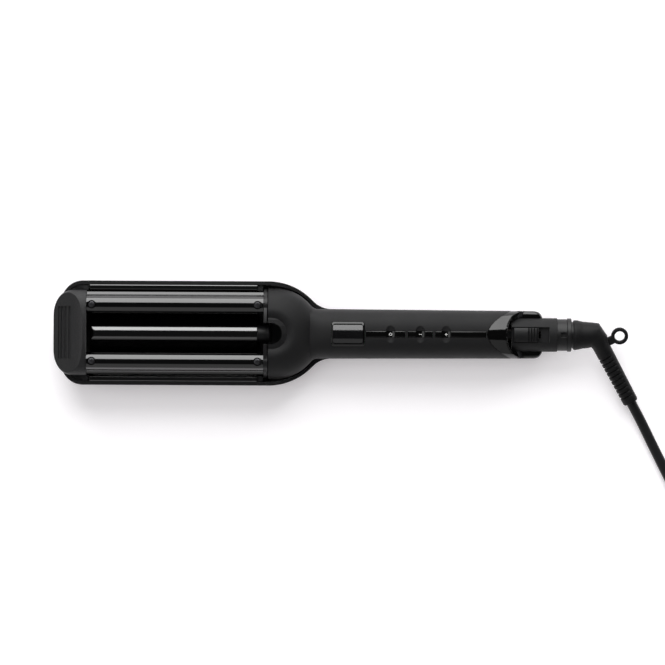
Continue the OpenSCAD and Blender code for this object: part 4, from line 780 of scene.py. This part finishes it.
tip_rows = round_row(TIP_X, ROUND_L, 18) + row(TIP_X + ROUND_L + 1, TIP_X1, 1) + [TIP_X1]
pad = rod("y", -40, 40, (PAD_X, PAD_CENTRE_Z), PAD_R, 360)
grooves = [rod("y", -GROOVE_HALF, GROOVE_HALF, (x, PAD_CENTRE_Z - half_chord(PAD_R, x - PAD_X)), GROOVE_R, 24)
           for x in GROOVES_X]
# Room for the front bracket's tongue and for the barrels' plugs
tongue_room = block(-144.9, TIP_X1 + 1, -20.1, 20.1, 27.1, 30.7)
barrel_room = [barrel_fill(-137.4, TIP_X1 + 1, side, BARREL_WALL) for side in (-1, 1)]
add_piece("cool_tip_moulding", loft([tip_ring(x) for x in tip_rows]), coarse_nylon, "upper_arm",
          ["cool_tip"], [pad, *grooves, tongue_room, *barrel_room], edge=0.2)


# ---- Upper arm: collar, dome and handle shell ----
# The upper handle is one moulding in the same matt nylon as the lower one. In front it swells into
# half a dome, with a scoop that clears the cap of the middle ridge, and three finger dimples are
# sunk into its back. A separate collar stands between the dome and the barrels.
UPPER_Z, UPPER_H, UPPER_POWER = 18.5, 15, 2.3
DOME_MID, DOME_R, DOME_H, CREASE_W, FLARE_RUN, SWELL_RUN = -23, 27.1, 19.5, 17.4, 6, 14
X_DROP, TAIL_DROP = 103, 3.2
SCOOP_X, SCOOP_R, SCOOP_FLARE, SCOOP_DROP, SCOOP_FLOOR = -25.2, 6.3, 15, 5.6, 8
HANDLE_TOP = UPPER_Z + UPPER_H


def dome_share(x):
    return half_chord(1, max(0, x - DOME_MID) / DOME_R)


def upper_half_w(x):
    if x <= X_CREASE:
        return DOME_R * dome_share(x)
    flare = (CREASE_W - HANDLE_W / 2) * (1 - limit((x - X_CREASE) / FLARE_RUN)) ** 3
    return HANDLE_W / 2 - grip_taper(x) + flare


def upper_crown(x):
    if x <= X_CREASE:
        return DOME_H * dome_share(x)
    swell = (DOME_H * CREASE_W / DOME_R - UPPER_H) * (1 - limit((x - X_CREASE) / SWELL_RUN)) ** 3
    return UPPER_H + swell - TAIL_DROP * soft_step((x - X_DROP) / (X_HINGE - X_DROP))


def upper_ring(x, inset, roof=None, below=0):
    """Ring of the upper arm's outline at x. A cutter's ring goes below the rim."""
    section = arch(upper_half_w(x) - inset, upper_crown(x) - inset, UPPER_POWER, steps=96)
    ring = [(x, y, UPPER_Z + (roof(x, y, rise) if roof else rise)) for y, rise in section]
    foot = UPPER_Z - below
    return [(x, ring[0][1], foot), *ring, (x, ring[-1][1], foot)] if below else ring


def scooped(x, y, rise):
    """The dome's height with the smooth flare of its scoop."""
    out = hypot(max(0, x - SCOOP_X), y)
    flare = 1 - limit((out - SCOOP_R) / (SCOOP_FLARE - SCOOP_R))
    return rise - SCOOP_DROP * flare ** 2 if rise > SCOOP_FLOOR else rise


scoop_cut = [rod("z", 5, 60, (SCOOP_X, 0), SCOOP_R, 72), block(-40, SCOOP_X, -SCOOP_R, SCOOP_R, 5, 60)]
collar_plate = bar([(y, UPPER_Z + rise) for y, rise in arch(DOME_R, DOME_H, UPPER_POWER)], -29.9, -27.85)
add_piece("barrel_collar_plate", collar_plate, heat_nylon, "upper_arm", ["upper_collar"],
          scoop_cut, edge=0.35)
PLUG_L, PLUG_GAP = 6.4, 0.1
collar_fill = [barrel_fill(X_BARREL_END, -27.6, side, 0.2) for side in (-1, 1)]
collar_plugs = [barrel_fill(X_BARREL_END - PLUG_L, X_BARREL_END + 0.02, side, BARREL_WALL + PLUG_GAP)
                for side in (-1, 1)]
add_piece("barrel_collar_plugs", together(*collar_fill, *collar_plugs), heat_nylon, "upper_arm")

DISPLAY_X, DISPLAY_L, DISPLAY_W, DISPLAY_CORNER, BEZEL_W = 10.48, 19.9, 14.5, 1.8, 1.1
# Each key's start and length, and the place of its sign
KEY_W, KEY_GAP = 3.6, 0.2
KEYS = (("power", 31.18, 23.4, 45.88), ("minus", 56.38, 14.5, 63.63), ("plus", 72.68, 30.22, 79.08))
DISH_L, DISH_W, DISH_H, DISH_Z = 4, 8.5, 3.5, 35.7
X_TRIM, X_SHELL_END, TRIM_HALF, TRIM_FAR = 103.3, 120, 18, 140


def display_outline(inset, steps=8):
    half = DISPLAY_W / 2 - inset
    return rounded_box(
        DISPLAY_X + inset, DISPLAY_X + DISPLAY_L - inset, -half, half, DISPLAY_CORNER - inset / 2, steps)


def upright(outline, z0, z1):
    """A prism straight up from an outline in plan."""
    return loft([[(x, y, z) for x, y in outline] for z in (z0, z1)])


def trim_edge(inset):
    """The glossy tail trim's front edge in plan, a hollow V."""
    across = [TRIM_HALF - i for i in range(2 * TRIM_HALF + 1)]
    return [(X_TRIM + inset + 0.2 * abs(y) + 0.047 * y * y + 0.000056 * y ** 4, y) for y in across]


def dish(spot):
    """The ellipsoid that a finger dimple is cut with."""
    rings = []
    for i in range(61):
        y = DISH_W * 0.999 * sin(pi / 2 * (i / 30 - 1))
        share = half_chord(1, y / DISH_W)
        rings.append(
            [(spot + DISH_L * share * cos(t), y, DISH_Z + DISH_H * share * sin(t)) for t in around(120)])
    return loft(rings)


dimples = [dish(spot) for _, _, _, spot in KEYS]
key_room = [block(x - KEY_GAP, x + length + KEY_GAP, -KEY_W / 2 - KEY_GAP, KEY_W / 2 + KEY_GAP, 25.5, 50)
            for _, x, length, _ in KEYS]
shell_rows = (row(X_DOME, X_CREASE, 0.7) + [X_CREASE] + row(X_CREASE + 0.5, X_CREASE + SWELL_RUN, 0.75)
              + row(X_CREASE + SWELL_RUN, X_DROP, 4) + row(X_DROP, X_SHELL_END, 1.5) + [X_SHELL_END])
inside_rows = [X_DOME - 1, X_DOME + 0.01, *shell_rows[1:-1], X_SHELL_END + 1]
inside = loft([upper_ring(x, SHELL_WALL, scooped, 3) for x in inside_rows])
behind = upright(trim_edge(0) + [(TRIM_FAR, -TRIM_HALF), (TRIM_FAR, TRIM_HALF)], -1, 60)
display_room = upright(display_outline(-0.1), 22.5, 50)
add_piece(
    "upper_shell_moulding", loft([upper_ring(x, 0, scooped) for x in shell_rows]), matt_nylon, "upper_arm",
    ["upper_shell"],
    [inside, *scoop_cut, display_room, *key_room, *dimples, behind, *hub_room], edge=0.15, smooth=35)
dress(heat_nylon, "upper_deck")

# A separate gloss trim with a flat stripe and facets closes the shell's back
FACET_FALL, STRIPE_HALF, REAR_SLOPE = 0.445, 2.5, 1.1
CREASE_R, CREASE_MID, X_HORN, HORN_UNDER = 18, 133.05, 124.5, 23


def rear_crease(y):
    """Where the trim's roof breaks off behind, in a hollow curve."""
    return CREASE_MID - half_chord(CREASE_R, y)


def faceted(x, y, rise, inset=0):
    """The trim's roof: a flat stripe in the middle, a facet on each side and a slope behind the crease."""
    fall = FACET_FALL * max(0, abs(y) - STRIPE_HALF) + REAR_SLOPE * max(0, x - rear_crease(y))
    return min(rise, upper_crown(x) - inset - fall)


trim_rows = row(102, 115, 1) + row(115, X_HORN, 0.5) + [X_HORN]
trim_inside = loft([upper_ring(x, SHELL_WALL, lambda *spot: faceted(*spot, SHELL_WALL), 3)
                    for x in [101, *trim_rows[1:-1], X_HORN + 1]])
trim_front = upright(trim_edge(0.2) + [(90, -TRIM_HALF), (90, TRIM_HALF)], -1, 60)
rear_edge = [(rear_crease(y) + 0.5 + 4 * ease((abs(y) - 8) / 3), y) for y in [15.5 - i / 2 for i in range(63)]]
trim_back = upright(rear_edge + [(TRIM_FAR, -15.5), (TRIM_FAR, 15.5)], -1, 60)
horn_room = block(X_HINGE, 130, -20, 20, 0, HORN_UNDER)
add_piece("tail_trim_moulding", loft([upper_ring(x, 0, faceted) for x in trim_rows]), gloss_abs, "upper_arm",
          ["tail_trim"], [trim_inside, trim_front, trim_back, horn_room, *hub_room], edge=0.25,
          smooth=30)


# ---- Upper arm: display and keys ----
# A gloss bead frames a small round-topped smoked window, with the liquid crystal display under it
# on the green board. Three gloss keys in one long inlay press the switches beside it, and each
# has its sign printed white in a finger dimple.
CROWN_R, BEAD_RISE, BEAD_FOOT = 20.6, 0.35, 2.2


def crown_z(y, above=0):
    """Height of the handle's crown at y, raised by above."""
    return HANDLE_TOP - CROWN_R + half_chord(CROWN_R + above, y)


bead = []
for (x0, y0), (x1, y1) in zip(display_outline(0, 10), display_outline(BEZEL_W, 10)):
    profile = [(x0, y0, crown_z(y0) - BEAD_FOOT)]
    for i in range(9):
        x, y = lerp(x0, x1, i / 8), lerp(y0, y1, i / 8)
        profile.append((x, y, crown_z(y, BEAD_RISE * quarter(i / 8))))
    bead.append(profile + [(x1, y1, crown_z(y1) - BEAD_FOOT)])
add_piece("display_bead", loft(bead, closed=True), gloss_abs, "upper_arm", ["display_bezel"])

# Smoked acrylic with a hard coat, polished: nearly black by day, with a clean reflection
acrylic, tree, shader, place = new_material(
    "hard_coated_smoked_acrylic", IOR=1.6, Specular_IOR_Level=0.5, Transmission_Weight=0.15)
haze = add_node(tree, "TexNoise", {"Vector": place, "Scale": 900, "Detail": 2})
lay_surface(tree, shader, (haze, "#070708", "#0b0b0d"), (haze, 0.1, 0.16))

LENS_R, LENS_FLAT, LENS_TOP, LENS_Z0, LENS_CORNER = 9, 0.2, 34.3, 29.6, 1.2
lens_x0, lens_x1 = DISPLAY_X + BEZEL_W, DISPLAY_X + DISPLAY_L - BEZEL_W
lens_steps = [LENS_CORNER * i / 6 for i in range(7)]
lens_rows = []
for x in sorted([lens_x0 + step for step in lens_steps] + [lens_x1 - step for step in lens_steps]):
    half_w = DISPLAY_W / 2 - BEZEL_W - fillet(LENS_CORNER, min(x - lens_x0, lens_x1 - x))
    roof = [(x, y, LENS_TOP - LENS_R + half_chord(LENS_R, max(0, abs(y) - LENS_FLAT)))
            for y in [half_w * (1 - i / 20) for i in range(41)]]
    lens_rows.append([(x, half_w, LENS_Z0), *roof, (x, -half_w, LENS_Z0)])
add_piece("display_window", loft(lens_rows), acrylic, "upper_arm", ["display_lens"])
# A liquid crystal cell: pale green-grey glass
cell = moulded_plastic("liquid_crystal_cell", "#7f8a80", "#95a095", 0.2, 2.0, 0.002, specular=0.5)
dress(cell, "display_module")
dress(heat_nylon, "key_guide")
dress(gloss_abs, "key_switches")

# Glass-fibre board under green solder mask, with its copper tracks showing as lighter bands
board, tree, shader, place = new_material("solder_masked_glass_fibre_board", IOR=1.55, Roughness=0.35)
# The tracks run at a spacing of about 1.3 mm
tracks = add_node(
    tree, "TexBrick", {"Vector": place, "Color1": linear("#0f4a26"), "Color2": linear("#145a30"),
    "Mortar": linear("#2c7d4b"), "Scale": 130, "Mortar Size": 0.03, "Brick Width": 3.5, "Row Height": 0.17})
relief = add_node(tree, "Bump", {"Height": tracks.outputs["Fac"], "Strength": 0.3, "Distance": 0.04 * MM},
                  invert=True)
tree.links.new(tracks.outputs["Color"], shader.inputs["Base Color"])
tree.links.new(relief.outputs[0], shader.inputs["Normal"])
dress(board, "control_board")

FLANGE_Z, FLANGE_T, FLANGE_HALF, STEM_Z, STEM_R = 31.2, 0.9, 2.7, 30, 1.2
KEY_TOP, KEY_SLOPE_W, KEY_SLOPE_H = HANDLE_TOP - 0.05, 0.4, 0.24
half = ((KEY_W / 2, FLANGE_Z - FLANGE_T), (KEY_W / 2, KEY_TOP - KEY_SLOPE_H),
        (KEY_W / 2 - KEY_SLOPE_W, KEY_TOP))
key_section = [*half, *[(-y, z) for y, z in half[::-1]]]
for name, x, length, spot in KEYS:
    add_piece(name + "_key_cap", bar(key_section, x, x + length), gloss_abs, name + "_button",
              [name + "_key"], dimples, edge=0.12)
    flange = block(x, x + length, -FLANGE_HALF, FLANGE_HALF, FLANGE_Z - FLANGE_T, FLANGE_Z)
    stem = rod("z", STEM_Z, FLANGE_Z - FLANGE_T / 2, (spot, 0), STEM_R, 32)
    add_piece(name + "_key_foot", together(flange, stem), gloss_abs, name + "_button")

# White pad-printing ink, flat and slightly raised
ink = moulded_plastic("white_pad_printing_ink", "#c9c9c7", "#dededc", 0.6, 0.15, 0.01)
INK_T, INK_SUNK = 0.03, -0.01


def print_mark(strokes, spot):
    """Printed strokes, each a strip of points given along and across the handle from the key's spot."""
    def on_key(a, b, up):
        z = min(KEY_TOP, DISH_Z - DISH_H * sqrt(1 - (a / DISH_L) ** 2 - (b / DISH_W) ** 2))
        return (spot + a, b, z + up)

    def corners(u, v, du, dv):
        return [on_key(u + s * du, v + s * dv, up)
                for s, up in ((1, INK_SUNK), (-1, INK_SUNK), (-1, INK_T), (1, INK_T))]

    return together(*[loft([corners(*at, *half) for at, half in stroke]) for stroke in strokes])


def straight(u0, v0, u1, v1, half):
    along = Vector((u1 - u0, v1 - v0)).normalized() * half
    return [((lerp(u0, u1, t / 6), lerp(v0, v1, t / 6)), (-along.y, along.x)) for t in range(7)]


def bow(r, a0, a1, half):
    return [((r * cos(t), r * sin(t)), (half * cos(t), half * sin(t)))
            for t in [radians(lerp(a0, a1, i / 24)) for i in range(25)]]


SIGNS = {"power": [bow(0.8, 130, 410, 0.12), straight(0, 0.25, 0, 1.05, 0.12)],
         "minus": [straight(-0.9, 0, 0.9, 0, 0.15)],
         "plus": [straight(0, -0.8, 0, 0.8, 0.15), straight(-0.8, 0, 0.8, 0, 0.15)]}
for name, _, _, spot in KEYS:
    add_piece(name + "_printed_sign", print_mark(SIGNS[name], spot), ink, name + "_button")


# ---- Swivel and its boot ----
# The swivel's stem turns in the ring. Its boot is one moulding in soft black rubber: a stub that
# turns an elbow, a ribbed branch that keeps the cord from kinking, and a flat hanging loop.
rubber = moulded_plastic(
    "moulded_thermoplastic_rubber", "#0b0b0c", "#111112", 0.55, 0.4, 0.04, specular=0.18, sheen=0.04)
# The stem's head in the collar, its shaft through the ring and its flange behind it
STEM_PARTS = ((149.6, 151.7, 6.3), (149.6, 155.6, 5), (154.6, 155.5, 8))
stem = [rod("x", x0, x1, (0, AXIS_Z), r) for x0, x1, r in STEM_PARTS]
add_piece("swivel_stem_turning", together(*stem), heat_nylon, "swivel", ["swivel_stem"])

BOOT_X, BOOT_DIP, BRANCH_A, ELBOW_X = 155.5, radians(14.5), radians(61.9), 13.45
BOOT_SIDES, STUB_R, STUB_X0, STUB_X1 = 56, 9, 0.8, 7.3
RIB_START, RIB_PITCH, RIB_CUT, BRANCH_L = 14.3, 3, 1.1, 47


def in_boot(x, y, z):
    """From the boot's own plane into the tool's frame."""
    return (BOOT_X + x, y * cos(BOOT_DIP) - z * sin(BOOT_DIP),
            AXIS_Z + y * sin(BOOT_DIP) + z * cos(BOOT_DIP))


def boot_ring(x, y, turn, radius, across, cut=0):
    """Ring of the boot. cut is the depth of a groove, which ends at a smooth spine along its outside."""
    ring = []
    for t in around(BOOT_SIDES):
        deep = cut * (1 - ease((cos(t) - 0.35) / 0.4))
        out = (radius - deep) * cos(t)
        ring.append(in_boot(x + out * cos(turn), y + out * sin(turn), (across - deep) * sin(t)))
    return ring


def branch_at(s, side=0):
    """A place in the boot's plane: s along the branch, side to its left."""
    return (ELBOW_X + s * cos(BRANCH_A) + side * sin(BRANCH_A),
            -s * sin(BRANCH_A) + side * cos(BRANCH_A))


def branch_ring(s, radius, across, cut=0):
    return boot_ring(*branch_at(s), pi / 2 - BRANCH_A, radius, across, cut)


def branch_r(s):
    return lerp(5.25, 4.6, limit(s / BRANCH_L))


stub_rows = [(0, 8.2), (0.2, 8.7), (STUB_X0, STUB_R)]
stub_rows += [(lerp(STUB_X0, STUB_X1, i / 6), STUB_R - soft_step(i / 6)) for i in range(1, 7)]
boot_rings = [boot_ring(x, 0, pi / 2, r, r) for x, r in stub_rows]
boot_rings += [boot_ring(10.5, 0, radians(84), 7.7, 7.7), boot_ring(ELBOW_X, 0, radians(74.2), 7.5, 7.4)]
# Past the elbow: a place along the branch, with the radius there in the boot's plane and across it
boot_rings += [branch_ring(s, radius, across) for s, radius, across in (
    (3.5, 6.2, 7), (6.4, 5.25, 6.6), (8.5, 5.1, 6), (10, branch_r(10), 5.6), (12.2, branch_r(12), 5.2),
    (RIB_START, branch_r(RIB_START), branch_r(RIB_START)))]
# Within each rib's pitch: a place, and the share of the groove's depth there
RIB_STEPS = ((0.15, 0.25), (0.3, 0.8), (0.5, 1), (0.9, 1), (1.1, 0.8), (1.25, 0.25), (1.4, 0), (2.9, 0))
for i in range(int((BRANCH_L - RIB_START - 1) / RIB_PITCH)):
    s = RIB_START + RIB_PITCH * i
    boot_rings += [branch_ring(s + step, branch_r(s), branch_r(s), RIB_CUT * cut) for step, cut in RIB_STEPS]
boot_rings += [branch_ring(BRANCH_L - back, r, r) for back, r in ((0.6, 4.6), (0.15, 4.4), (0, 4))]

LOOP_U, LOOP_V, LOOP_MID_R, LOOP_HALF_W, LOOP_HALF_T, LOOP_POWER = 7.2, 12.7, 4.075, 1.075, 1.5, 0.6
loop_rings = []
for spin in around(48):
    section = []
    for a in around(16):
        r = LOOP_MID_R + LOOP_HALF_W * signed_power(cos(a), LOOP_POWER)
        z = LOOP_HALF_T * signed_power(sin(a), LOOP_POWER)
        section.append(in_boot(*branch_at(LOOP_U + r * cos(spin), LOOP_V + r * sin(spin)), z))
    loop_rings.append(section)
loop_stem = loft([[in_boot(*branch_at(LOOP_U + u, v), z) for u, z in rounded_box(-2.5, 2.5, -1.45, 1.45, 0.8, 4)]
                  for v in (3, 5.5, 8.9)])
add_piece(
    "swivel_boot_moulding", together(loft(boot_rings), loft(loop_rings, closed=True), loop_stem), rubber,
    "swivel", ["swivel_boot"], smooth=32)


# ---- Mains plug ----
# A flat two-pin plug moulded onto the cord's end in the same rubber, with nickel-plated brass pins.
PLUG_X, PLUG_Y, PLUG_T, PLUG_CORNER, PIN_OUT = 287, -27, 13.7, 4.2, 9.3
# Half widths of the plug, from the cord's entry to its flat face
PLUG_PLAN = ((6, 0), (6.3, 4), (6.9, 8), (9, 11), (13, 14), (15.65, 16), (17, 18), (17.65, 20.5), (17.65, 33))
plug_rows = [[(PLUG_X + u, PLUG_Y + y, z) for u, z in rounded_box(-half_w, half_w, 0, PLUG_T, PLUG_CORNER)]
             for half_w, y in PLUG_PLAN]
plug = add_piece("mains_plug_moulding", loft(plug_rows), rubber, "lower_arm", ["plug_body"],
                 edge=0.8)
nickel = plain_metal("nickel_plated_brass", "#a9a59c", "#cbc8c1", 0.2, 0.15, 0.002)
pins = []
for x in (PLUG_X - PIN_OUT, PLUG_X + PIN_OUT):
    centre = [Vector((x, PLUG_Y + y, PLUG_T / 2)) for y in (25, 50.5, 51.4, 51.9, 52)]
    pins.append(loft(round_rings(centre, [2, 2, 1.7, 1, 0.6], 32)))
plug_pins = add_piece("mains_plug_pins", together(*pins), nickel, "lower_arm", ["plug_pins"])
